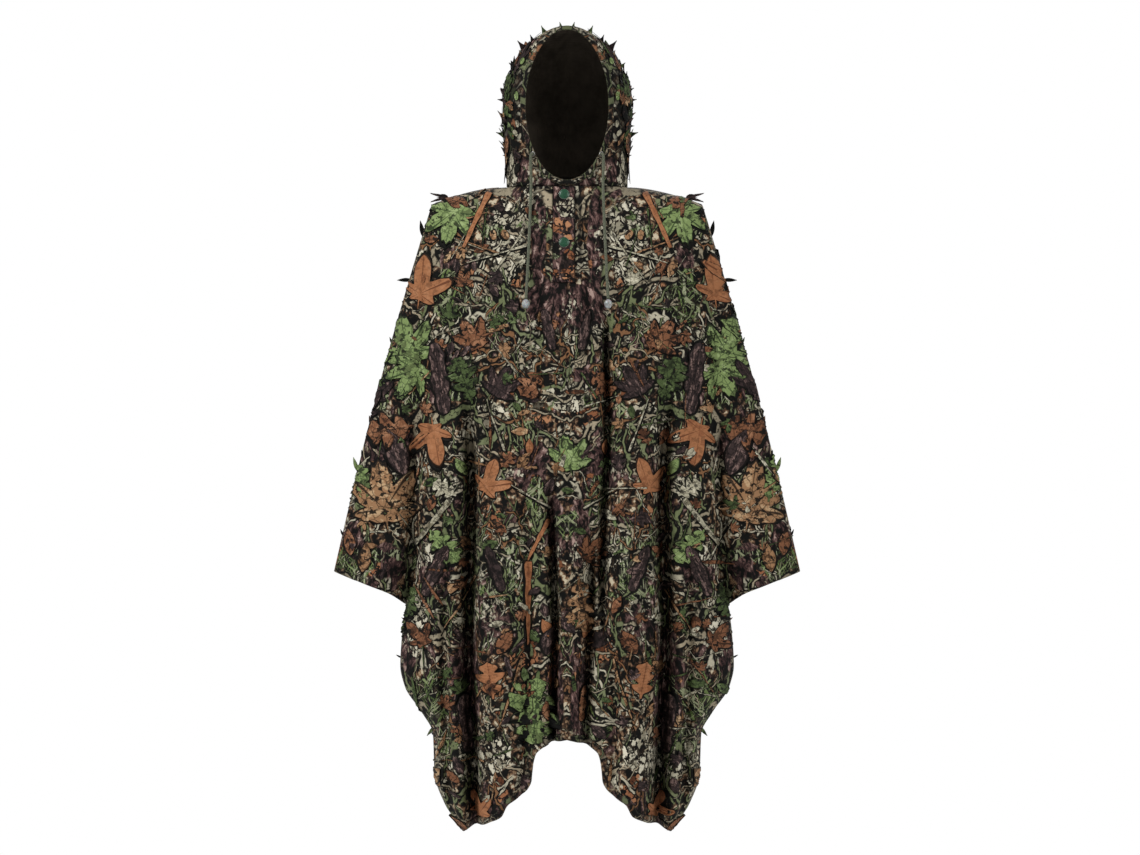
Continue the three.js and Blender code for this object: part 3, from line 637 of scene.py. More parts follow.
def woodland(s, at, bark_only=False):
    """The colour of the printed woodland floor: lichen, bark, rust leaves, grass and twigs on black, with
    painted shade where the dark attribute is set.
    """
    zones = s.attribute("zones")
    in_lichen, in_bark, in_rust = (s.part(zones, number) for number in range(3))
    in_grass = s.attribute("grass", 2)

    def region(weight, scale, move, low):
        """1 where a weight or a slow noise of its own says so."""
        slow = s.noise(s.place(at, move=move), scale, 4, 0.62)
        return s.step(s.scaled(weight, 0.3, slow), low, low + 0.03)

    grain = s.noise(at, 420, 4, 0.7)
    mottle = s.noise(s.bend(at, 50, 0.014), 72, 2.5, 0.6)
    colour = s.ramp(mottle, MOTTLE_TONES)

    bark_grain = s.noise(turned_and_stretched(s, s.bend(at, 22, 0.03), 0.3, 3.2, 1), 46, 3, 0.62)
    bark = s.ramp(bark_grain, BARK_TONES)
    colour = s.mix(region(in_bark, 9.5, (3, 5, 1), 0.36 if bark_only else 0.56), colour, bark)

    on_rust = region(in_rust, 12.0, (7, 2, 4), 0.62)
    rust, chance = flakes(s, at, 62, 0.03, 0.09, 0.22)
    rust_tone = s.ramp(s.math("ADD", chance, s.times(grain, 0.3)), RUST_TONES)
    colour = s.mix(s.times(on_rust, 0.85), colour, BLACK)
    colour = s.mix(s.times(rust, on_rust), colour, rust_tone)

    on_lichen = region(in_lichen, 11.0, (0, 0, 0), 0.59)
    lichen, chance = flakes(s, at, 62, 0.024, 0.1, 0.26)
    small, small_chance = flakes(s, s.place(at, move=(2, 9, 3)), 120, 0.012, 0.12, 0.5)
    pale = s.ramp(s.math("ADD", s.times(chance, 0.7), s.times(grain, 0.4)), LICHEN_TONES)
    small_pale = s.ramp(small_chance, [(0.5, (0.2, 0.17, 0.11)), (1.0, (0.62, 0.57, 0.44))])
    colour = s.mix(s.times(on_lichen, 0.92), colour, BLACK)
    colour = s.mix(s.times(small, region(in_lichen, 11.0, (0, 0, 0), 0.54)), colour, small_pale)
    colour = s.mix(s.times(lichen, on_lichen), colour, pale)

    on_grass = region(in_grass, 12.0, (11, 3, 8), 0.6)
    colour = s.mix(s.times(on_grass, 0.9), colour, BLACK)
    for turn, across, along, tone in BLADES:
        blades = strokes(s, s.place(at, move=(turn, 1, 2)), turn, across, along, 0.6, 0.62)
        colour = s.mix(s.times(blades, on_grass), colour, tone)
    off_bark = s.math("SUBTRACT", 1.0, s.step(in_bark, 0.25, 0.7))

    def laid_on(below, mask, outline, there, tone, shade):
        """A dark outline and then a toned shape, wherever they are and off the bark."""
        there = s.times(there, off_bark)
        below = s.mix(s.times(outline, there), below, BLACK)
        return s.mix(s.times(mask, there), below, s.mix(grain, tone, tuple(shade * c for c in tone)))

    for turn, across, along, tone in () if bark_only else STEMS:
        stem, outline = stems(s, s.place(at, move=(3 * turn, 4, 2)), turn, across, along, 0.028)
        there = s.step(s.noise(s.place(at, move=(turn, 8, 2)), 11, 2, 0.5), 0.52, 0.54)
        colour = laid_on(colour, stem, outline, there, tone, 0.5)
    for scale, move, tone in TWIGS:
        twig, outline = twigs(s, s.place(at, move=(move, 2, 5)), scale, 0.014)
        there = s.step(s.noise(s.place(at, move=(move, 8, 2)), 8, 1, 0.5), 0.57, 0.6)
        colour = laid_on(colour, twig, outline, there, tone, 0.4)
    grit = s.step(s.noise(s.bend(at, 60, 0.008), 120, 2.5, 0.6), 0.56, 0.58)
    colour = s.mix(s.times(grit, 0.8), colour, BLACK)
    # The dark attribute paints shade and shadow: beside and along the placket flap's edge, and on the hood's
    # sides.
    return s.mix(s.attribute("dark", 2), colour, BLACK), grain


def woodland_print(name, bark_only=False):
    """The printed knitted mesh of the garment."""
    s = Shader(name)
    at = s.attribute("cloth")
    colour, grain = woodland(s, at, bark_only)
    ribs = knit(s, at)
    colour = s.darkened(colour, ribs, 0.3)
    rough = s.scaled(grain, 0.2, 0.76)
    return s.finish(colour, rough, ribs, 0.4, 0.0006, Specular_IOR_Level=0.1)


def plain_weave(name, tone, scale=WEAVE_SCALE):
    """Plain tape and the inside of the cloth: a dark weave with a worn, uneven tone."""
    s = Shader(name)
    at = s.attribute("cloth")
    worn = s.noise(at, 26, 4, 0.6)
    dark = tuple(0.45 * c for c in tone)
    light = tuple(1.5 * c for c in tone)
    colour = s.ramp(worn, [(0.25, dark), (0.5, tone), (0.8, light)])
    weave = s.times(*(s.bands(at, direction, scale, Distortion=0.5) for direction in ("X", "Y")))
    colour = s.darkened(colour, weave, 0.4)
    rough = s.scaled(worn, 0.15, 0.8)
    return s.finish(colour, rough, weave, 0.4, 0.0004, Specular_IOR_Level=0.15)


# In metres, how far apart a hem's stitches are, and how far their row is from its edge.
STITCH, STITCH_ROW = 0.0042, 0.0095


def hem_print(name):
    """A turned hem of the same print, with a row of stitches along it and wear on its edge."""
    s = Shader(name)
    at = s.attribute("cloth")
    strip = s.attribute("strip")
    along, across = s.part(strip, 0), s.part(strip, 1)
    colour, grain = woodland(s, at)
    colour = s.mix(0.35, colour, BLACK)
    edge_wear = s.times(s.step(across, 0.0022, 0.0006), s.step(grain, 0.42, 0.6))
    colour = s.mix(s.times(edge_wear, 0.5), colour, (0.16, 0.14, 0.1))
    dash = s.step(s.math("SINE", s.times(along, 2 * math.pi / STITCH)), -0.35, -0.1)
    row = s.step(s.math("ABSOLUTE", s.math("SUBTRACT", across, STITCH_ROW)), 0.00075, 0.0004)
    stitch = s.times(dash, row)
    colour = s.mix(s.times(stitch, 0.8), colour, (0.07, 0.07, 0.045))
    ribs = knit(s, at)
    colour = s.darkened(colour, ribs, 0.3)
    height = s.math("ADD", s.times(ribs, 0.5), stitch)
    return s.finish(colour, 0.84, height, 0.5, 0.0008, Specular_IOR_Level=0.1)


def leaf_print(name, tones, specks, vein, streak=1.0):
    """A printed leaf, cut out by heat: blotched, with dark veins and a dark singed edge."""
    s = Shader(name)
    at = s.attribute("leaf")
    number = s.attribute("leaf_number", 2)
    moved = s.node("ShaderNodeCombineXYZ", i0=s.times(number, 13.7), i1=number, i2=0.0)
    own = s.node("ShaderNodeVectorMath", operation="ADD", i0=at, i1=moved)
    streaks = (streak, 1, 1)
    streaked = s.place(s.bend(own, 30, 0.01), stretch=streaks)
    blotch = s.math("ADD", s.noise(streaked, 48, 3, 0.62), s.scaled(number, 0.14, -0.07))
    colour = s.ramp(blotch, [(0.38, tones[0]), (0.44, tones[1]), (0.56, tones[1]), (0.62, tones[2])])
    speckled = s.place(s.bend(own, 50, 0.014), stretch=streaks)
    speck = s.step(s.noise(speckled, 95, 2.5, 0.6), 0.56, 0.58)
    colour = s.mix(s.times(speck, specks), colour, BLACK)
    fine_veins = s.cells(s.bend(own, 60, 0.012), 70, "DISTANCE_TO_EDGE")
    colour = s.mix(s.times(s.step(fine_veins, 0.06, 0.03), 0.7 * specks), colour, vein)
    colour = s.mix(s.times(s.step(s.attribute("vein", 2), 0.45, 0.95), 0.9), colour, vein)
    edge = s.math("ADD", s.attribute("edge", 2), s.scaled(blotch, 0.8, -0.4))
    colour = s.mix(s.times(s.step(edge, 0.62, 0.8), 0.95), colour, BLACK)
    ribs = knit(s, at)
    colour = s.darkened(colour, ribs, 0.26)
    height = s.math("ADD", ribs, s.times(s.attribute("vein", 2), 1.5))
    rough = s.scaled(blotch, 0.15, 0.7)
    return s.finish(colour, rough, height, 0.3, 0.0006, Specular_IOR_Level=0.1)


def braid(name):
    """Round braided cord: two sets of strands crossing at a slant."""
    s = Shader(name)
    at = s.attribute("cord")
    strands = (s.bands(s.place(at, turn=(0, 0, turn)), "Y", 90.0, Distortion=0.3) for turn in (0.62, -0.62))
    cross = s.math("MAXIMUM", *strands)
    fleck = s.noise(at, 300, 3, 0.6)
    tones = [(0.3, (0.035, 0.042, 0.022)), (0.55, (0.085, 0.095, 0.052)), (0.8, (0.18, 0.185, 0.115))]
    colour = s.darkened(s.ramp(fleck, tones), cross, 0.6)
    return s.finish(colour, 0.72, cross, 0.6, 0.0005, Sheen_Weight=0.2)


def metal(name, tone):
    """Dull plated metal, finely scratched."""
    s = Shader(name)
    at = s.own_place()
    fine = s.noise(s.place(at, stretch=(1, 1, 6)), 900, 3, 0.6)
    worn = s.noise(at, 160, 4, 0.6)
    colour = s.ramp(worn, [(0.3, tuple(0.55 * c for c in tone)), (0.7, tone)])
    rough = s.scaled(fine, 0.25, 0.22)
    return s.finish(colour, rough, fine, 0.08, 0.0002, Metallic=1.0)


def enamel(name):
    """Green paint on the press-stud caps, uneven and finely chipped."""
    s = Shader(name)
    at = s.own_place()
    worn = s.noise(at, 420, 4, 0.65)
    tones = [(0.25, (0.005, 0.028, 0.014)), (0.6, (0.012, 0.062, 0.03)), (0.85, (0.03, 0.11, 0.055))]
    colour = s.ramp(worn, tones)
    chips = s.step(s.noise(at, 1300, 3, 0.7), 0.68, 0.72)
    colour = s.mix(s.times(chips, 0.4), colour, (0.2, 0.21, 0.19))
    rough = s.scaled(worn, 0.2, 0.24)
    return s.finish(colour, rough, worn, 0.1, 0.0002, Specular_IOR_Level=0.35)


def bead_plastic(name):
    """Cloudy grey-white plastic of the cord ends, lightly scuffed."""
    s = Shader(name)
    at = s.own_place()
    cloud = s.noise(at, 210, 4, 0.6)
    colour = s.ramp(cloud, [(0.3, (0.16, 0.17, 0.17)), (0.6, (0.34, 0.36, 0.36)), (0.8, (0.5, 0.52, 0.52))])
    scuff = s.noise(at, 1500, 3, 0.7)
    return s.finish(colour, s.scaled(scuff, 0.25, 0.16), scuff, 0.06, 0.0002,
                    Subsurface_Weight=0.3, Subsurface_Scale=0.004, Transmission_Weight=0.15)


def painted_floor(name):
    s = Shader(name)
    tone = s.noise(s.own_place(), 3, 2, 0.5)
    return s.finish(s.ramp(tone, [(0.3, (0.86, 0.86, 0.85)), (0.7, (0.9, 0.9, 0.89))]), 0.9)


PRINT = woodland_print("woodland_print")
BARK_PRINT = woodland_print("bark_print", bark_only=True)
INSIDE = plain_weave("cloth_inside", (0.075, 0.07, 0.062))
HOOD_INSIDE = plain_weave("hood_inside", (0.1, 0.082, 0.062))
TAPE = plain_weave("tape", (0.05, 0.044, 0.034), TAPE_SCALE)
HEM_PRINT = hem_print("hem_print")
LEAF_TONES = {
    # name: deep, middle and light tones, how speckled, the tone of the veins, and how streaked
    "green": ((0.1, 0.13, 0.05), (0.2, 0.27, 0.1), (0.29, 0.37, 0.16), 0.85, (0.03, 0.05, 0.018)),
    "moss": ((0.03, 0.042, 0.016), (0.07, 0.1, 0.036), (0.16, 0.21, 0.09), 0.95, (0.008, 0.012, 0.005)),
    "orange": ((0.26, 0.1, 0.044), (0.35, 0.148, 0.066), (0.4, 0.18, 0.086), 0.3, (0.12, 0.04, 0.018)),
    "rust": ((0.07, 0.028, 0.014), (0.2, 0.085, 0.042), (0.33, 0.16, 0.085), 0.95, (0.014, 0.008, 0.005)),
    "tan": ((0.14, 0.07, 0.032), (0.31, 0.17, 0.085), (0.48, 0.32, 0.18), 0.95, (0.014, 0.009, 0.006)),
    "bark": ((0.012, 0.008, 0.008), (0.04, 0.026, 0.025), (0.2, 0.13, 0.115), 0.8, (0.006, 0.004, 0.004),
             3.5),
    "cream": ((0.17, 0.15, 0.1), (0.4, 0.37, 0.27), (0.62, 0.58, 0.44), 0.8, (0.03, 0.026, 0.018)),
    "black": ((0.003, 0.003, 0.003), (0.006, 0.006, 0.005), (0.014, 0.012, 0.01), 0.5, (0.004, 0.004, 0.003)),
}
LEAF_MATERIALS = {name: leaf_print(f"leaf_{name}", row[:3], *row[3:]) for name, row in LEAF_TONES.items()}
LEAF_ORDER = list(LEAF_MATERIALS)


# ------------------------------------------------------------------ leaf outlines
def strip_leaf(outline, stations, slant=0.16):
    """A leaf one unit long, stem at the origin, as columns beside its midrib.

    outline gives its half width at a share of its length.
    """
    columns = np.array([-1, -0.55, -0.1, 0, 0.1, 0.55, 1])
    t = np.linspace(0, 1, stations)
    half = np.maximum(outline(t), 0.006)
    across = half[:, None] * columns[None, :]
    along = t[:, None] + slant * np.abs(across) * np.sin(np.pi * t)[:, None]
    midrib = np.tile((columns == 0).astype(float), (stations, 1))
    rib = ((np.arange(stations) % 4) == 2).astype(float)[:, None] * (np.abs(columns) < 0.9) * 0.75
    vein = np.maximum(midrib, rib * (stations > 12))
    edge = np.tile(np.abs(columns) ** 6, (stations, 1))
    edge[0], edge[-1] = 1, 1
    points = np.stack([across.ravel(), along.ravel()], -1)
    return points, grid_faces(stations, len(columns)), vein.ravel(), edge.ravel()


def round_leaf(outline, base, spokes=(), skew=0.0, count=120):
    """A leaf whose outline is (degrees from its tip, radius), alike on both sides but for a skew."""
    turn = np.linspace(-180, 180, count, endpoint=False)
    turns, radii = np.array(outline, float).T
    angles = np.radians(turn)
    reach = np.interp(np.abs(turn), turns, radii) * (1 + skew * np.sin(angles))
    rings = (0.02, 0.3, 0.62, 0.88, 1.0)
    points = [np.stack([np.sin(angles), np.cos(angles)], -1) * (reach * ring)[:, None] for ring in rings]
    vein = np.zeros((len(rings), count))
    for spoke in spokes:
        off = np.abs(np.abs(turn) - spoke)
        vein[:4] = np.maximum(vein[:4], off[None, :] < 2.2)
    edge = np.repeat((0, 0, 0, 0.4, 1), count)
    faces = grid_faces(len(rings), count, closed=True) + [list(range(count))[::-1]]
    return np.concatenate(points) * (1 - base) + (0, base), faces, vein.ravel(), edge


# Outlines of the round leaves: degrees from the tip, and radius.
MAPLE = [
    (0, 1.0), (5, 0.88), (9, 0.92), (15, 0.74), (20, 0.7), (28, 0.46), (34, 0.62), (39, 0.84), (44, 0.97),
    (50, 0.84), (55, 0.86), (62, 0.66), (69, 0.62), (78, 0.4), (86, 0.58), (95, 0.74), (103, 0.6),
    (112, 0.56), (124, 0.4), (140, 0.36), (160, 0.3), (171, 0.26), (176, 0.26), (180, 0.5),
]
LOBED = [
    (0, 1.0), (4, 0.95), (9, 0.88), (14, 0.79), (20, 0.64), (27, 0.46), (35, 0.34), (42, 0.38), (50, 0.55),
    (57, 0.7), (64, 0.72), (72, 0.62), (82, 0.42), (92, 0.28), (104, 0.3), (116, 0.38), (126, 0.34),
    (140, 0.24), (158, 0.18), (174, 0.15), (180, 0.4),
]
FORK = [
    (0, 0.5), (5, 0.3), (12, 0.62), (17, 1.0), (22, 0.6), (34, 0.3), (70, 0.2), (120, 0.16), (180, 0.2),
]
# Outlines of the long leaves: share of the length from the stem, and half width.
OAK = [
    (0, 0.02), (0.1, 0.03), (0.15, 0.14), (0.22, 0.17), (0.28, 0.08), (0.33, 0.25), (0.42, 0.29),
    (0.48, 0.11), (0.54, 0.31), (0.64, 0.35), (0.7, 0.14), (0.76, 0.28), (0.84, 0.27), (0.89, 0.12),
    (0.95, 0.13), (1, 0),
]
SHORT_OAK = [
    (0, 0.03), (0.12, 0.05), (0.2, 0.26), (0.3, 0.32), (0.38, 0.13), (0.5, 0.42), (0.6, 0.46), (0.68, 0.16),
    (0.8, 0.3), (0.88, 0.26), (0.94, 0.1), (1, 0),
]


def oval_outline(wide, teeth=0.0):
    return lambda t: wide * np.sin(np.pi * t**0.85) * (1 + teeth * (np.round(t * 24) % 2))


def log_outline(t):
    rough = 1 + 0.13 * np.sin(17 * t) + 0.07 * np.sin(41 * t)
    return 0.125 * np.sin(np.pi * clamp(t)) ** 0.3 * rough


LEAVES = {
    "oak": strip_leaf(curve(OAK), 61, 0.2),
    "short_oak": strip_leaf(curve(SHORT_OAK), 49, 0.2),
    "log": strip_leaf(log_outline, 31, 0),
    "oval": strip_leaf(oval_outline(0.25), 21),
    "beech": strip_leaf(oval_outline(0.27, 0.12), 25),
    "spike": strip_leaf(oval_outline(0.13), 11, 0),
    "thorn": strip_leaf(lambda t: 0.4 * (1 - t) ** 1.5 + 0.03, 9, 0),
    "blade": strip_leaf(oval_outline(0.045), 9, 0),
    "twig": strip_leaf(lambda t: 0.045 * (1.15 - 0.45 * t) * (1 + 0.14 * np.sin(19 * t)), 25, 0),
    "stick": strip_leaf(lambda t: 0.016 * (1.2 - 0.7 * t) * (1 + 0.3 * np.sin(13 * t)), 21, 0),
    "chip": strip_leaf(lambda t: 0.36 * np.sin(np.pi * np.clip(t, 0, 1)) ** 0.35, 11),
    "maple": round_leaf(MAPLE, 0.36, (0, 41, 92), 0.08),
    "lobed": round_leaf(LOBED, 0.34, (0, 62, 118), 0.3),
    "fork": round_leaf(FORK, 0.2, ()),
}

# Leaves of the print that are cut round and stand off the cloth, the same on both sides: kind, colour, the
# place of their middle across and its height, length, and turn in degrees from up towards the outside.
MOTIFS = [
    ("maple", "green", 195, -52, 94, 168), ("twig", "orange", 153, -52, 109, 157),
    ("stick", "moss", 139, -66, 70, 175), ("chip", "tan", 124, -80, 17, 10),
    ("chip", "tan", 104, -80, 18, 35), ("stick", "cream", 101, -114, 108, 145),
    ("stick", "cream", 117, -112, 110, 106), ("stick", "tan", 150, -98, 80, 70),
    ("beech", "rust", 188, -20, 44, 70), ("lobed", "orange", 248, -160, 106, -8),
    ("maple", "green", 274, -262, 108, 10), ("maple", "green", 264, -316, 86, 150),
    ("log", "bark", 214, -321, 124, 8), ("maple", "rust", 160, -252, 72, 30),
    ("oak", "moss", 172, -325, 84, 20), ("lobed", "orange", 222, -424, 98, 190),
    ("oval", "orange", 63, -436, 28, 0), ("short_oak", "rust", 300, -408, 80, 100),
    ("oval", "bark", 290, -446, 84, 20), ("maple", "tan", 312, -524, 134, 8),
    ("oak", "green", 349, -500, 64, 12), ("oval", "rust", 371, -600, 46, 5),
    ("oval", "tan", 344, -626, 50, -10), ("short_oak", "cream", 206, -508, 44, 60),
    ("twig", "cream", 226, -564, 100, 143), ("oak", "green", 209, -602, 74, -140),
    ("log", "bark", 222, -646, 96, -25), ("lobed", "orange", 132, -492, 82, -20),
    ("stick", "tan", 95, -850, 128, 163), ("lobed", "orange", 151, -1046, 62, 30),
    ("short_oak", "orange", 127, -827, 62, 10), ("beech", "rust", 104, -762, 46, -30),
    ("log", "bark", 172, -905, 104, 6), ("oval", "tan", 230, -1000, 44, 40),
    ("lobed", "rust", 252, -760, 64, 40), ("oak", "moss", 268, -700, 60, 160),
    ("short_oak", "rust", 60, -330, 54, 140), ("log", "bark", 30, -240, 70, 12),
    ("maple", "bark", 112, -330, 70, -30), ("oval", "orange", 34, -740, 36, 24),
    ("log", "bark", 120, -640, 80, 20), ("oval", "rust", 186, -1080, 38, 50),
    ("stick", "cream", 60, -520, 80, 60), ("stick", "cream", 120, -400, 96, 20),
    ("stick", "tan", 180, -700, 110, 150), ("oval", "green", 180, -470, 34, 30),
    ("lobed", "bark", 330, -340, 70, 10), ("stick", "cream", 262, -590, 90, 30),
]
# The leaves that one side has and the other hasn't, as the wearer's left is +X.
ONE_SIDED = [
    ("maple", "green", 2, -452, 78, -12), ("log", "rust", 26, -866, 60, 4),
    ("oak", "tan", 26, -700, 96, 170), ("maple", "rust", 40, -610, 60, 40),
    ("twig", "orange", -48, -592, 78, -154), ("twig", "orange", -65, -698, 142, 180),
    ("oak", "green", -52, -872, 124, -176), ("short_oak", "green", -66, -850, 70, -120),
    ("beech", "bark", -30, -760, 50, 10), ("oval", "rust", 84, -700, 34, 30),
]
# Cut leaf tips that stand out past the outline: the place of their stem, their length and their turn.
TIPS = [
    ("fork", "bark", 203, -8, 36, 92), ("spike", "black", 222, -34, 15, 75),
    ("spike", "black", 247, -78, 30, 10), ("spike", "black", 266, -150, 26, 92),
    ("spike", "moss", 300, -262, 14, 20), ("spike", "rust", 336, -402, 19, 12),
    ("spike", "black", 350, -460, 18, 10), ("spike", "green", 360, -480, 26, 16),
    ("spike", "black", 384, -592, 14, 22), ("spike", "moss", 226, -916, 23, 140),
    ("spike", "black", 284, -800, 11, 60), ("spike", "rust", 275, -738, 12, 50),
]


def joined(piece, other):
    """Two leaf meshes as one."""
    work = bmesh.new()
    work.from_mesh(piece.data)
    work.from_mesh(other.data)
    work.to_mesh(piece.data)
    work.free()
    bpy.data.objects.remove(other)
    return piece


def leaf_set(name, places, face_sign, to_cloth, number_seed):
    """One mesh of many leaves on the cloth.

    A place is (kind, colour, place across, height, length, turn, lift at its tip). Black leaves without lift
    are painted shadows under others.
    """
    rng = np.random.default_rng(number_seed)
    across, up, off, faces, slots, start = [], [], [], [], [], 0
    attributes = {"leaf": [], "leaf_number": [], "vein": [], "edge": []}
    for kind, colour, s, z, length, turn, lift in places:
        shape, shape_faces, vein, edge = LEAVES[kind]
        angle = math.radians(turn)
        flat = shape * length
        across.append(s + flat[:, 0] * math.cos(angle) + flat[:, 1] * math.sin(angle))
        up.append(z - flat[:, 0] * math.sin(angle) + flat[:, 1] * math.cos(angle))
        shadow = colour == "black" and lift == 0
        raised = 1.1 + lift * shape[:, 1] ** 2 + 0.05 * lift * edge + rng.uniform(0, 0.8)
        off.append(np.full(len(shape), 0.5) if shadow else raised)
        faces += [[i + start for i in face] for face in shape_faces]
        slots += [LEAF_ORDER.index(colour)] * len(shape_faces)
        start += len(shape)
        attributes["leaf"].append(np.column_stack([flat * MM, np.zeros(len(flat))]))
        attributes["leaf_number"].append(np.full(len(flat), rng.uniform()))
        attributes["vein"].append(vein)
        attributes["edge"].append(edge)
    points = to_cloth(np.concatenate(across), np.concatenate(up), face_sign, np.concatenate(off))
    whole = [(label, np.concatenate(values)) for label, values in attributes.items()]
    piece = make_mesh(name, points, faces, whole)
    for colour in LEAF_ORDER:
        piece.data.materials.append(LEAF_MATERIALS[colour])
    piece.data.polygons.foreach_set("material_index", slots)
    return piece


# ------------------------------------------------------------------ the cape
def inner_edge(side, face, drop):
    """Where a half of the cape starts: its middle, or back from it beside the placket."""
    if face > 0:
        return np.zeros_like(drop)
    beside = 1 - smooth(PANELS_MEET - 20, PANELS_MEET, drop)
    return side * 0.2 + beside * (PLACKET_RIGHT if side < 0 else 10)


BODY_COLUMNS, SLEEVE_COLUMNS, ROWS = 118, 58, 250
SIDES = {"right": -1, "left": 1}
FACES = {"front": -1, "back": 1}


def rows_down():
    """Shares of the way down a panel, and how many of them reach to where the sleeve's opening ends."""
    underarm = (TIP_Z - UNDERARM) / (TIP_Z + HEM_LOW)
    above = int(ROWS * underarm)
    down = np.concatenate([np.linspace(0, underarm, above), np.linspace(underarm, 1, ROWS - above + 1)[1:]])
    return down, above


def cape_half(side_name, side, face_name, face):
    """One half of the cape's front or back, body and sleeve in one cloth."""
    down, above = rows_down()
    hem = front_hem if face < 0 else back_hem
    across = np.linspace(0, 1, BODY_COLUMNS)[None, :]
    _, top = seam_at(across, face)
    z = top + (-hem(across) - top) * down[:, None]
    inner = inner_edge(side, face, -z)
    width = body_half_width(-z)
    x = inner + across * (side * width - inner)
    body = np.stack([x, body_y(x, z, face), z], -1)
    s = np.linspace(0, 1, SLEEVE_COLUMNS)[None, :]
    share = (down[:above] / down[above - 1])[:, None]
    sleeve_z = TIP_Z + (-sleeve_hem(s) - TIP_Z) * share
    start = body_half_width(-sleeve_z)
    sleeve_x = start + (np.maximum(sleeve_half_width(-sleeve_z), start) - start) * s
    sleeve = np.stack([side * sleeve_x, sleeve_y(side * sleeve_x, sleeve_z, face), sleeve_z], -1)
    sleeve[:, 0] = body[:above, -1]
    points = np.concatenate([body.reshape(-1, 3), sleeve.reshape(-1, 3)])
    flip = side * face < 0
    faces = grid_faces(ROWS, BODY_COLUMNS, flip)
    offset = body.shape[0] * body.shape[1]
    faces += [[i + offset for i in quad] for quad in grid_faces(above, SLEEVE_COLUMNS, flip)]
    printed = print_attributes(points, FACE_APART * face, face < 0)
    piece = make_mesh(f"{face_name}_{side_name}_cloth", points, faces, printed)
    join_close(piece, 0.00005)
    piece.data.materials.append(PRINT)
    thicken(piece, CLOTH, INSIDE)
    return piece


def hem_strip(name, edge_x, edge_z, face, inward):
    """A turned hem along an edge of the cape, given from one end to the other."""
    step = np.hypot(np.gradient(edge_x), np.gradient(edge_z))
    along = np.cumsum(step) - step[0]
    tangent = np.stack([np.gradient(edge_x), np.gradient(edge_z)], -1) / step[:, None]
    normal = np.stack([-tangent[:, 1], tangent[:, 0]], -1) * inward
    rows, strip = [], []
    profile = [(0.0, -1.6), (-0.4, -0.2), (0.2, 1.0), (2.5, 1.3), (HEM * 0.75, 1.2), (HEM, 0.5), (HEM, -0.2)]
    for depth, off in profile:
        x = edge_x + normal[:, 0] * depth
        z = edge_z + normal[:, 1] * depth
        rows.append(cape_point(x, z, face, off))
        strip.append(np.stack([along, np.full(len(along), depth), np.zeros(len(along))], -1))
    points = np.concatenate(rows)
    printed = print_place(points, FACE_APART * face + points[:, 1])
    flip = face * inward > 0
    piece = make_mesh(name, points, grid_faces(len(profile), len(edge_x), flip),
                      [("cloth", printed), ("strip", np.concatenate(strip) * MM)])
    piece.data.materials.append(HEM_PRINT)
    thicken(piece, LEAF_CLOTH)
    return piece


def bottom_hem(side_name, side, face_name, face):
    across = np.linspace(0.004, 0.975, 130)
    hem = front_hem if face < 0 else back_hem
    z = -hem(across)
    x = side * across * body_half_width(-z)
    return hem_strip(f"{face_name}_{side_name}_hem_band", x, z, face, side)


def sleeve_hem_band(side_name, side, face_name, face):
    s = np.linspace(0.01, 0.985, 60)
    z = -sleeve_hem(s)
    start = body_half_width(-z)
    x = side * (start + (sleeve_half_width(-z) - start) * s)
    return hem_strip(f"{side_name}_sleeve_{face_name}_hem_band", x, z, face, side)


# How many small leaves a quarter of the cape has, how far apart leaves are, and how far cut tips lift.
SMALL_LEAVES, LEAF_SPACING, TIP_LIFT = 150, 19, 3.0


def scatter(side, face, taken, count, seed):
    """Small leaves strewn over a half of the cape, clear of the large ones. Gives places like leaf_set's."""
    rng = np.random.default_rng(seed)
    kinds = ["oval", "beech", "short_oak", "maple", "stick", "stick", "blade", "lobed", "log"]
    colours = ["rust", "bark", "bark", "moss", "moss", "rust", "tan", "cream"]
    spots = [(abs(place[2]), place[3]) for place in taken]
    chosen = []
    while len(chosen) < count:
        z = rng.uniform(-1080, -8)
        x = rng.uniform(4, outline_x(np.array(z)) - 4)
        kind, colour = str(rng.choice(kinds)), str(rng.choice(colours))
        length = rng.uniform(18, 36)
        if kind in ("stick", "blade"):
            length, colour = length * 2.2, str(rng.choice(["cream", "tan", "rust", "moss"]))
        turn, lift = rng.uniform(-180, 180), rng.uniform(0.3, 2.0)
        share = x / body_half_width(-z)
        hem = (front_hem if face < 0 else back_hem)(min(1.0, share))
        on_sleeve = share > 1 and z > -640
        if not on_sleeve and (share > 0.93 or z < -hem + 18 + length * 0.4):
            continue
        if on_sleeve and x > outline_x(np.array(z)) - 16:
            continue
        if x < 34 + length and z > -192 - length and face < 0:
            continue
        if min(math.hypot(x - a, (z - b) * 0.8) for a, b in spots) < LEAF_SPACING:
            continue
        spots.append((x, z))
        chosen.append((kind, colour, side * x, z, length, side * turn, lift))
    return chosen


def from_middle(x, z, length, turn):
    """The place of a leaf's stem, from the place of its middle."""
    angle = math.radians(turn)
    return x - 0.5 * length * math.sin(angle), z - 0.5 * length * math.cos(angle)


def standing_off(x, z, face, off):
    """The upright plane of the cut tips, just off the side seam."""
    return np.stack([x, face * (4 + off), z], -1)


# How far up the large leaves are moved on the back's right and left, so that it isn't the front again.
BACK_SHIFTS = {-1: -34, 1: 18}


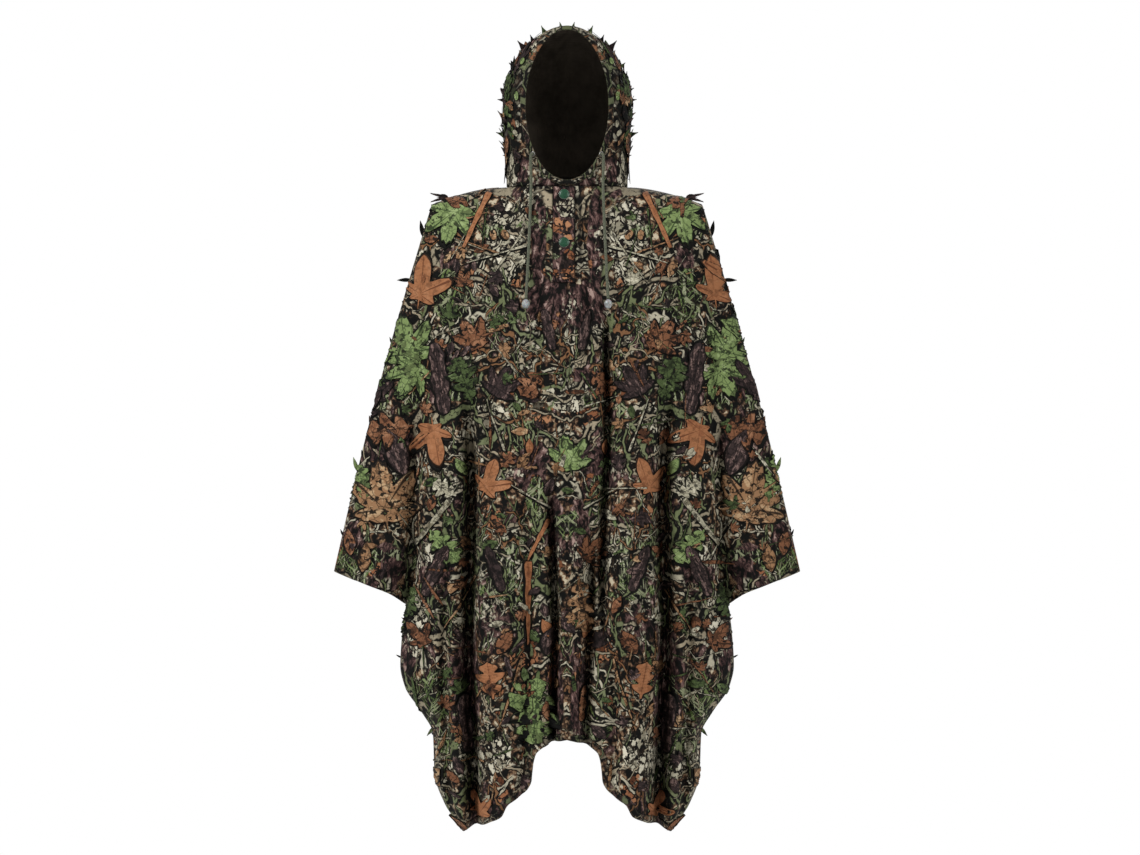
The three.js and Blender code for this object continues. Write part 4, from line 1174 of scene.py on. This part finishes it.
def cape_leaves(side_name, side, face_name, face, seed):
    """All the leaves on one half of the cape's front or back, in one mesh."""
    shift = 0 if face < 0 else BACK_SHIFTS[side]
    large, shadows = [], []
    own_side = [(kind, colour, side * x, z, length, side * turn)
                for kind, colour, x, z, length, turn in ONE_SIDED if x * side > 0]
    motifs = MOTIFS + own_side
    for i, (kind, colour, x, z, length, turn) in enumerate(motifs):
        low = z + shift * (-900 < z < -120)
        stem_x, stem_z = from_middle(x, low, length, turn)
        lift = 1.0 + 1.6 * ((i * 7) % 5) / 4
        large.append((kind, colour, side * stem_x, stem_z, length, side * turn, lift))
        # Painted shadow: a flat black copy of the leaf, a little larger and moved out and down, lying under
        # it.
        shadows.append((kind, "black", side * (stem_x + 2), stem_z - 2.5, length * 1.06, side * turn, 0.0))
    small = scatter(side, face, large, SMALL_LEAVES, seed)
    cloth = leaf_set(f"{face_name}_{side_name}_leaves", shadows + large + small, face, cape_point, seed + 2)
    if face < 0:
        tips = [(kind, colour, side * x, z, length, side * turn, TIP_LIFT)
                for kind, colour, x, z, length, turn in TIPS]
        cloth = joined(cloth, leaf_set("tips", tips, face, standing_off, seed + 3))
    thicken(cloth, LEAF_CLOTH)
    return cloth


def blend_cape(piece):
    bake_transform(piece)


def make_cape():
    for side_name, side in SIDES.items():
        for face_name, face in FACES.items():
            seed = SEED + 10 * side + 30 * face + 100
            cloth = cape_half(side_name, side, face_name, face)
            hem = bottom_hem(side_name, side, face_name, face)
            cuff = sleeve_hem_band(side_name, side, face_name, face)
            leaves = cape_leaves(side_name, side, face_name, face, seed)
            for piece in (cloth, hem, cuff, leaves):
                blend_cape(piece)
            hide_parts(f"{face_name}_{side_name}_panel", f"{side_name}_sleeve_{face_name}")
            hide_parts(f"{face_name}_{side_name}_hem")
            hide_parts(f"{side_name}_sleeve_hem_{face_name}")
            if face < 0:
                stands_for = ("shoulder", "upper_arm", "mid_arm", "lower_arm")
                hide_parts(*(f"leaf_{leaf}_{side_name}" for leaf in stands_for))


# ------------------------------------------------------------------ the hood
HOOD_COLUMNS, HOOD_ROWS = 231, 120


def blend_hood(piece):
    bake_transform(piece)


HOOD_LICHEN = [(84, 99, 7, 16), (84, 216, 9, 16), (96, 30, 12, 28), (38, 268, 26, 9), (82, 152, 6, 12)]
HOOD_BARK = [(76, 34, 18, 22), (30, 10, 30, 10), (62, 250, 16, 12)]
HOOD_RUST = [(100, 200, 8, 16), (104, 20, 6, 12)]
# Patches of painted shade on the hood's sides: place from the middle, height, half width and half height.
HOOD_PAINTED_SHADE = [(100, 110, 20, 76), (96, 180, 20, 50)]


def hood_cloth():
    """Collar and hood in one cloth, from one edge of the face opening round the back to the other."""
    t = np.linspace(-1, 1, HOOD_COLUMNS)[None, :]
    turn = np.pi * (1 - np.abs(t))
    seam = NECK_Z - NECK_RISE * np.cos(turn) + 0.5
    share = np.linspace(0, 1, HOOD_ROWS)[:, None] ** 0.9
    up = hood_up_at(seam) + (0.995 - hood_up_at(seam)) * share
    z = hood_height(up)
    opening = opening_angle(z)
    angle = np.sign(t) * (opening + (np.pi - opening) * (1 - np.abs(t)))
    angle = np.where(t == 0, np.pi, angle)
    points = hood_point(angle, up)
    flat = points.reshape(-1, 3)
    from_back = ((np.pi - np.abs(angle)) * HOOD_RADIUS * np.sign(t)).ravel()
    printed = print_place(flat, HOOD_APART + flat[:, 1] + unlike(from_back))
    tables = (HOOD_LICHEN, HOOD_BARK, HOOD_RUST)
    zones = np.stack([patch_weight(table, flat[:, 0], flat[:, 2]) for table in tables], -1)
    # Painted shade on the hood's sides, on its front half only.
    dark = 0.85 * patch_weight(HOOD_PAINTED_SHADE, flat[:, 0], flat[:, 2]) * (flat[:, 1] < 20)
    piece = make_mesh("hood_cloth", flat, grid_faces(HOOD_ROWS, HOOD_COLUMNS, True),
                      [("cloth", printed), ("zones", zones), ("dark", dark)])
    piece.data.materials.append(PRINT)
    thicken(piece, CLOTH, HOOD_INSIDE)
    return piece


def face_channel():
    """The drawcord channel round the face: a soft tube of cloth, puckered by its cord."""
    turns = np.linspace(0, 2 * np.pi, 420, endpoint=False)
    corners = np.linspace(0, 2 * np.pi, 14, endpoint=False)
    around, section_turn = turns[:, None], corners[None, :]
    pucker = 1 + 0.16 * np.sin(around * 118 + np.sin(around * 9)) + 0.08 * np.sin(around * 47)
    wide = FACE_HEM / 2 * (1 + 0.96 * np.cos(section_turn) * (0.94 + 0.06 * pucker))
    thick = -2.2 - 2.3 * np.sin(section_turn) * pucker
    x = (FACE_X + wide) * np.sin(around)
    z = FACE_Z - (FACE_HEIGHT + wide) * np.cos(around)
    up = hood_up_at(z)
    width = np.maximum(1, hood_half_width(up))
    middle = (hood_front(up) + hood_back(up)) / 2
    depth = (hood_back(up) - hood_front(up)) / 2
    sine = np.minimum(0.85, np.abs(x) / width)
    points = np.stack([x, middle - depth * np.sqrt(1 - sine * sine) + thick, z], -1)
    length = around * HOOD_RADIUS + 0 * section_turn
    from_edge = 7.5 + 4 * np.sin(section_turn) + 0 * around
    strip = np.stack([length, from_edge, 0 * length], -1).reshape(-1, 3) * MM
    flat = points.reshape(-1, 3)
    printed = print_place(flat, CHANNEL_APART)
    faces = grid_faces(len(turns), len(corners), closed=True)
    last = (len(turns) - 1) * len(corners)
    for c in range(len(corners)):
        n = (c + 1) % len(corners)
        faces.append([last + c, last + n, n, c])
    piece = make_mesh("face_channel", flat, faces, [("cloth", printed), ("strip", strip)])
    piece.data.materials.append(HEM_PRINT)
    return piece


def crown_seam():
    """The felled seam over the hood's crown, where its halves meet."""
    up = np.linspace(hood_up_at(16.0), 0.985, 120)[:, None]
    across = np.array([-5, -4.4, -1.5, 0, 1.5, 4.4, 5])[None, :]
    rise = np.array([-0.6, 1.0, 1.3, 0.7, 1.3, 1.0, -0.6])[None, :]
    width = np.maximum(6, hood_half_width(up))
    angle = np.pi - across / width
    points = hood_point(angle, up + 0 * across, rise + 0 * up).reshape(-1, 3)
    length = (up * 340 + 0 * across).ravel()
    strip = np.stack([length, (9.5 + 0 * up + np.abs(np.abs(across) - 3)).ravel(), 0 * length], -1) * MM
    printed = np.stack([points[:, 0] + 40, points[:, 2], np.full(len(points), SEAM_APART)], -1) * MM
    piece = make_mesh("hood_crown_seam", points, grid_faces(len(up), across.shape[1]),
                      [("cloth", printed), ("strip", strip)])
    piece.data.materials.append(HEM_PRINT)
    thicken(piece, SEAM_CLOTH)
    return piece


# The hood's large leaves: kind, colour, place round the hood in degrees, height, length, turn and lift.
HOOD_MOTIFS = [
    ("oak", "moss", 64, 150, 58, 24, 3), ("beech", "rust", 70, 96, 40, 160, 2),
    ("lobed", "bark", 60, 206, 50, 10, 3), ("maple", "tan", 84, 30, 62, 20, 2),
    ("oval", "cream", 66, 34, 36, -20, 2), ("oak", "green", 112, 170, 62, 40, 3),
    ("maple", "rust", 140, 90, 74, -30, 2), ("lobed", "orange", 156, 190, 66, 20, 3),
    ("oak", "tan", 166, 120, 60, 150, 2), ("oval", "cream", 128, 40, 44, 90, 2),
    ("beech", "moss", 84, 216, 44, 0, 3), ("oak", "green", 136, 232, 50, 30, 3),
    ("short_oak", "moss", 172, 50, 54, 0, 2), ("oval", "rust", 104, 120, 46, 60, 2),
    ("chip", "cream", 50, 106, 13, 0, 2), ("chip", "cream", 51, 92, 13, 40, 2),
    ("chip", "green", 49, 152, 16, 10, 2), ("chip", "green", 50, 216, 16, 60, 2),
    ("maple", "bark", 96, 80, 66, 190, 3), ("oak", "green", 160, 20, 60, 10, 2),
]
# The cut tips on the hood's outline: how far out, height, length and turn.
HOOD_TIPS = [
    (11, 277, 13, 16), (39, 269, 16, 26), (60, 257, 12, 24), (74, 244, 19, 42), (80, 232, 12, 20),
    (90, 214, 15, 52), (98, 196, 10, 40), (104, 176, 15, 62), (107, 162, 15, 84), (108, 134, 14, 60),
    (109, 118, 9, 90), (108, 102, 17, 74), (106, 84, 11, 50), (104, 66, 9, 80),
]


def hood_surface(s, z, face, off):
    """A point off the hood at a distance round it and a height. face is not needed here."""
    up = hood_up_at(np.clip(z, 8, 277))
    return hood_point(s / HOOD_RADIUS, up, off) + np.stack([0 * z, 0 * z, z - hood_height(up)], -1) * 0.6


def hood_outline(x, z, face, off):
    """The upright plane through the widest part of the hood, which leans forward at the crown."""
    return np.stack([x, 14 - 54 * smooth(170, 272, z) - off, z], -1)


# How many small leaves a side of the hood has, and how far the points of its cut tips lift.
HOOD_SMALL_LEAVES, THORN_LIFT = 80, 2.0


def hood_leaves():
    """Leaves all over the hood, and the cut tips that break its outline."""
    rng = np.random.default_rng(SEED + 400)
    places, tips = [], []
    for side in (-1, 1):
        for kind, colour, around, z, length, turn, lift in HOOD_MOTIFS:
            lower = 44 * (side < 0 and around > 120)
            at = side * math.radians(around) * HOOD_RADIUS
            places.append((kind, colour, at, max(z - lower, 14), length, side * turn + lower, lift))
        for _ in range(HOOD_SMALL_LEAVES):
            around, z = rng.uniform(52, 176), rng.uniform(24, 250)
            kind = str(rng.choice(["oval", "beech", "lobed", "stick", "short_oak", "log"]))
            colour = str(rng.choice(["rust", "bark", "moss", "black", "tan", "black", "moss", "bark"]))
            at = side * math.radians(around) * HOOD_RADIUS
            length, turn, lift = rng.uniform(16, 34), rng.uniform(-180, 180), rng.uniform(0.5, 3)
            places.append((kind, colour, at, z, length, turn, lift))
        for z in np.arange(62, 262, 13.0):
            around = 74 + rng.uniform(-10, 24)
            colour = str(rng.choice(["moss", "black", "bark", "rust", "moss"]))
            at = side * math.radians(around) * HOOD_RADIUS
            z, length = z + rng.uniform(-3, 3), rng.uniform(15, 22)
            turn, lift = side * rng.uniform(-30, 60), rng.uniform(4, 8)
            places.append(("beech", colour, at, z, length, turn, lift))
        for i, (x, z, length, turn) in enumerate(HOOD_TIPS):
            colour = ("moss", "moss", "black", "bark", "tan")[i % 5]
            tips.append(("thorn", colour, side * (x - 2), z - 2, length, side * turn, THORN_LIFT))
    cloth = leaf_set("hood_leaves", places, 1, hood_surface, SEED + 401)
    cloth = joined(cloth, leaf_set("tips", tips, 1, hood_outline, SEED + 402))
    thicken(cloth, LEAF_CLOTH)
    return cloth


def neck_tape():
    """The bound tape inside the neck seam."""
    steps = 120
    turn = np.linspace(0, 2 * np.pi, steps, endpoint=False)[:, None]
    across = np.array([0, 1, 4.5, 8, 9])[None, :]
    swell = np.array([0.0, 0.5, 0.2, 0.5, 0.0])[None, :]
    lift = NECK_Z + 6 - (NECK_RISE + 5) * np.cos(turn)
    points = np.stack([
        (NECK_X - 9 - swell) * np.sin(turn), -(NECK_Y - 11 - swell) * np.cos(turn), lift + across,
    ], -1).reshape(-1, 3)
    faces = grid_faces(steps, across.shape[1])
    last = (steps - 1) * across.shape[1]
    faces += [[last + c, last + c + 1, c + 1, c] for c in range(across.shape[1] - 1)]
    along = (turn * NECK_Y + 0 * across).ravel()
    cloth = np.stack([along, (across + 0 * turn).ravel(), 0 * along], -1) * MM
    piece = make_mesh("neck_binding", points, faces, [("cloth", cloth)])
    piece.data.materials.append(TAPE)
    thicken(piece, BINDING)
    return piece


def make_hood():
    cloth, channel, seam = hood_cloth(), face_channel(), crown_seam()
    leaves, tape = hood_leaves(), neck_tape()
    for piece in (cloth, channel, seam, leaves):
        blend_hood(piece)
    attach(tape, "cape")
    for side_name in SIDES:
        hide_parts(f"collar_{side_name}", f"hood_{side_name}_panel")
        stands_for = ("crown", "brow", "temple", "cheek", "jaw")
        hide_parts(*(f"leaf_{leaf}_{side_name}" for leaf in stands_for))
    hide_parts("face_hem", "face_hem_throat")
    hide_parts("hood_crown_tape")
    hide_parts("neck_tape")


# ------------------------------------------------------------------ placket and press studs
PLACKET_TILT = -math.atan(SLOPE)


def on_placket(points):
    """Points of the placket's own frame, whose -Y is out of the cloth, in the garment's."""
    x, y, z = points[:, 0], points[:, 1], points[:, 2]
    sine, cosine = math.sin(PLACKET_TILT), math.cos(PLACKET_TILT)
    return np.stack([x, -NECK_Y + y * cosine - z * sine, NECK_Z - NECK_RISE + y * sine + z * cosine], -1)


def placket_cloth(name, left, right, top, bottom, front, thickness):
    """A double layer of cloth with rounded edges, turned under and stitched all round."""
    rows, columns = 120, 40
    across, down = np.linspace(right, left, columns)[None, :], np.linspace(top, bottom, rows)[:, None]
    from_edge = np.minimum(np.minimum(across - right, left - across), np.minimum(top - down, down - bottom))
    roll = 0.8 * (1 - rounded(from_edge / 2.5)) + 0.35 * np.exp(-(((from_edge - 5) / 1.2) ** 2))
    wave = 0.25 * np.sin(down / 13 + across / 9) + 0.2 * np.sin(down / 6.1)
    y = front + roll + wave * smooth(0, 6, from_edge)
    points = np.stack([across + 0 * down, y, down + 0 * across], -1).reshape(-1, 3)
    x, z = points[:, 0], points[:, 2]
    place = np.stack([x + 60, z, np.full(len(points), PLACKET_APART)], -1) * MM
    flaked = patch_weight([(2, -38, 16, 16)], np.abs(x - 2), z)
    rusty = patch_weight([(0, -138, 16, 24)], np.abs(x - 6), z)
    zones = np.stack([flaked, 1 - np.maximum(flaked, rusty), rusty], -1)
    # Painted shadow: the layer goes black within a few millimetres of its +X edge.
    dark = 0.9 * (1 - smooth(1.5, 4, left - x))
    piece = make_mesh(name, on_placket(points), grid_faces(rows, columns, True),
                      [("cloth", place), ("zones", zones), ("dark", dark)])
    piece.data.materials.append(BARK_PRINT)
    thicken(piece, thickness)
    return piece


def turned(name, profile, place, material, frame_of=on_placket, segments=56):
    """A turned piece: profile is (radius, height out of the cloth), place its foot in its own frame."""
    turns = np.linspace(0, 2 * np.pi, segments, endpoint=False)
    radii, heights = np.array(profile, float).T
    x = place[0] + radii[:, None] * np.cos(turns)[None, :]
    z = place[2] + radii[:, None] * np.sin(turns)[None, :]
    y = place[1] - heights[:, None] + 0 * x
    points = frame_of(np.stack([x, y, z], -1).reshape(-1, 3))
    piece = make_mesh(name, points, grid_faces(len(profile), segments, True, True))
    join_close(piece, 0.00001)
    piece.data.materials.append(material)
    return piece


CAP = [
    (0, 0), (8.0, 0), (8.6, 0.2), (8.8, 0.7), (8.7, 1.2), (8.2, 1.6), (7.7, 1.55), (7.4, 1.5), (6.8, 1.85),
    (5, 2.3), (2.5, 2.52), (0, 2.6),
]
CAP_RIM = [(8.62, 1.34), (8.86, 1.1), (8.96, 0.8), (8.76, 0.3), (8.9, 0.1)]
SOCKET = [
    (3.2, 0), (5.2, 0), (5.5, 0.25), (5.6, 0.6), (5.3, 1), (4.7, 1.3), (4.3, 1.4), (3.5, 1.4), (3.2, 1.2),
    (3.2, 0),
]
STUD = [
    (0, 0), (4.4, 0), (4.4, 0.5), (4.1, 0.75), (2.6, 0.85), (2.25, 1.1), (2.3, 1.4), (2.7, 1.75),
    (2.6, 2.0), (2.1, 2.2), (0, 2.2),
]
POST = [
    (0, 0), (4.7, 0), (5, 0.25), (4.9, 0.6), (4.4, 0.88), (2.5, 0.82), (1.2, 0.6), (0, 0.6),
]
FLAP_FRONT, FLAP_BACK, UNDERLAP_FRONT, UNDERLAP_BACK = -2.6, -0.6, 3.4, 5.0
# The left, right, top and bottom edges of the placket's two layers.
FLAP_EDGES = (PLACKET_LEFT, PLACKET_RIGHT, PLACKET_TOP, PLACKET_BOTTOM)
UNDERLAP_EDGES = (24, -15, -2, -162)


def make_placket(steel):
    green = enamel("green_enamel")
    flap = placket_cloth("placket_flap_cloth", *FLAP_EDGES, FLAP_FRONT, FLAP_CLOTH)
    under = placket_cloth("placket_underlap_cloth", *UNDERLAP_EDGES, UNDERLAP_FRONT, UNDERLAP_CLOTH)
    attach(flap, "placket")
    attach(under, "cape")
    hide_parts("placket_flap")
    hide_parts("placket_underlap")
    on_flap, on_under = [], []
    for which, z in zip(("upper", "lower"), SNAP_Z):
        parts = (
            ("cap", CAP, FLAP_FRONT - 0.3, green, on_flap, "snap_paint"),
            ("socket", SOCKET, FLAP_BACK + 1.7, steel, on_flap, "steel"),
            ("stud", STUD, UNDERLAP_FRONT - 0.3, steel, on_under, "steel"),
            ("post", POST, UNDERLAP_BACK + 1.3, steel, on_under, "steel"),
        )
        for part, profile, y, material, group, slot in parts:
            piece = turned(f"{which}_snap_{part}", profile, (SNAP_X, y, z), material)
            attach(piece, "placket" if group is on_flap else "cape")
            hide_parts(f"snap_{part}_{which}")
            group.append(piece)
        rim = turned(f"{which}_snap_rim", CAP_RIM, (SNAP_X, FLAP_FRONT - 0.3, z), steel)
        thicken(rim, RIM)
        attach(rim, "placket")
        on_flap.append(rim)


# ------------------------------------------------------------------ drawcords
CORD_ROUTE = [
    (57.8, -81.9, 59), (60, -85.8, 58.4), (61.3, -88, 55.4), (61.6, -88.8, 49), (61.4, -89, 38),
    (61, -89.2, 24), (60.8, -89.8, 8), (61, -92.2, -6), (61.4, -96.2, -18), (61.9, -101.2, -34),
    (62.6, -106.4, -54), (63.5, -112.2, -78), (64.5, -117.2, -102), (65.8, -123.4, -130),
    (67.2, -129, -158), (68.3, -133.4, -178), (68.8, -135.6, -188.9),
]
CORD_RADIUS = 2.4
CORD_END = (69, -137, -197)
EYELET = (58.2, -82.6, 59, math.radians(29))
BEAD = [
    (0, -7.5), (2.6, -7.5), (3.4, -7.1), (4.6, -6.4), (6.2, -4.4), (7.2, -2), (7.5, 0.3), (7.1, 2.6),
    (6.0, 4.7), (4.4, 6.3), (3.5, 7.0), (2.9, 7.3), (2.6, 7.0), (2.5, 6.2), (0, 6.2),
]
BEAD_SHARE = (0.9, 1.0)  # the bead is a little narrower than its profile
EYELET_RING = [
    (2.9, -1), (3.9, -1), (4.3, -0.7), (4.4, -0.2), (4.2, 0.3), (3.8, 0.65), (3.3, 0.72), (2.95, 0.4),
    (2.9, -0.2), (2.9, -1),
]


def smooth_route(points, count):
    """More points on one smooth line through the given ones."""
    points = np.array(points, float)
    steps = np.concatenate([[0], np.cumsum(np.linalg.norm(np.diff(points, axis=0), axis=1))])
    at = np.linspace(0, steps[-1], count)
    return np.stack([curve(np.column_stack([steps, points[:, i]]))(at) for i in range(3)], -1), at


def cord_tube(name, route, lengths, material):
    """A round cord, closed by flat caps at its ends, with its braid's coordinates."""
    sides = 16
    tangent = np.gradient(route, axis=0)
    tangent /= np.linalg.norm(tangent, axis=1)[:, None]
    across = np.cross(tangent, (1.0, 0.05, 0.0))
    across /= np.linalg.norm(across, axis=1)[:, None]
    other = np.cross(tangent, across)
    turns = np.linspace(0, 2 * np.pi, sides, endpoint=False)
    cosine, sine = np.cos(turns)[None, :, None], np.sin(turns)[None, :, None]
    ring = cosine * across[:, None, :] + sine * other[:, None, :]
    points = (route[:, None, :] + CORD_RADIUS * ring).reshape(-1, 3)
    faces = grid_faces(len(route), sides, closed=True)
    last = (len(route) - 1) * sides
    faces.append(list(range(sides))[::-1])
    faces.append([last + i for i in range(sides)])
    wound = np.stack([
        np.tile(CORD_RADIUS * turns, len(route)), np.repeat(lengths, sides), np.zeros(len(points)),
    ], -1) * MM
    piece = make_mesh(name, points, faces, [("cord", wound)])
    piece.data.materials.append(material)
    return piece


def turned_about(place, turn):
    """A frame at a place in the garment, turned about Z."""
    sine, cosine = math.sin(turn), math.cos(turn)
    return lambda p: np.stack([
        place[0] + p[:, 0] * cosine - p[:, 1] * sine,
        place[1] + p[:, 0] * sine + p[:, 1] * cosine,
        place[2] + p[:, 2],
    ], -1)


def standing(place):
    """A frame at a place whose turned pieces stand on +Z."""
    return lambda p: np.stack([place[0] + p[:, 0], place[1] + p[:, 2], place[2] - p[:, 1]], -1)


def make_cords(steel):
    cord_material, bead_material = braid("olive_braid"), bead_plastic("cord_end_plastic")
    for side_name, side in SIDES.items():
        mirror = np.array([side, 1, 1])
        route, lengths = smooth_route(np.array(CORD_ROUTE) * mirror, 120)
        cord = cord_tube(f"drawcord_{side_name}_braid", route, lengths, cord_material)
        bead = turned(f"cord_end_{side_name}_bead", np.array(BEAD) * BEAD_SHARE, (0, 0, 0), bead_material,
                      standing(np.array(CORD_END) * mirror))
        ring = turned(f"eyelet_{side_name}_ring", EYELET_RING, (0, 0, 0), steel,
                      turned_about(np.array(EYELET[:3]) * mirror, side * EYELET[3]))
        body = f"{side_name}_cord_end"
        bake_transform(cord)
        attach(bead, body)
        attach(ring, "cape")
        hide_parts(f"drawcord_{side_name}")
        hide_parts(f"cord_end_{side_name}")
        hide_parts(f"eyelet_{side_name}")


# ------------------------------------------------------------------ camera, light and floor
CAMERA = Vector((0.005, -5.06, -0.404))
VIEW_WIDTH, VIEW_DISTANCE, SENSOR = 1.938, 5.0, 36.0
FLOOR, FLOOR_SIZE = -1500, 2400
LIT_MIDDLE = Vector((0, 0, -0.4))
DIM_ROOM = 0.35  # how much light the studio's walls give, where their own white is 1


def make_camera():
    data = bpy.data.cameras.new("camera")
    data.sensor_width = SENSOR
    data.lens = SENSOR * VIEW_DISTANCE / VIEW_WIDTH
    camera = bpy.data.objects.new("camera", data)
    camera.location = CAMERA
    camera.rotation_euler = (math.radians(90), 0, 0)
    bpy.context.scene.collection.objects.link(camera)
    bpy.context.scene.camera = camera


def make_light(name, place, size, power):
    data = bpy.data.lights.new(name, "AREA")
    data.size = size
    data.energy = power
    light = bpy.data.objects.new(name, data)
    light.location = place
    light.rotation_euler = (LIT_MIDDLE - Vector(place)).to_track_quat("-Z", "Y").to_euler()
    bpy.context.scene.collection.objects.link(light)


def make_studio():
    corners = np.array([(-1, -1, 0), (1, -1, 0), (1, 1, 0), (-1, 1, 0)])
    floor = make_mesh("floor", corners * FLOOR_SIZE + (0, 0, FLOOR), [(0, 1, 2, 3)])
    floor.data.materials.append(painted_floor("floor_paint"))
    make_light("key", (-3.0, -2.4, 2.6), 2.0, 200)
    make_light("fill", (3.0, -2.8, 1.2), 2.4, 90)
    make_light("back", (0.6, 3.4, 1.8), 2.6, 80)
    world = bpy.data.worlds.new("studio")
    world.use_nodes = True
    tree = world.node_tree
    seen_directly = tree.nodes.new("ShaderNodeLightPath").outputs["Is Camera Ray"]
    brightness = tree.nodes.new("ShaderNodeMapRange")
    brightness.inputs["To Min"].default_value = DIM_ROOM
    tree.links.new(seen_directly, brightness.inputs["Value"])
    background = tree.nodes["Background"]
    background.inputs[0].default_value = (1, 1, 1, 1)
    tree.links.new(brightness.outputs[0], background.inputs[1])
    bpy.context.scene.world = world
    bpy.context.scene.view_settings.view_transform = "Standard"


make_camera()
nickel = metal("nickel", (0.42, 0.41, 0.38))
make_cords(nickel)
make_placket(nickel)
make_cape()
make_hood()
make_studio()
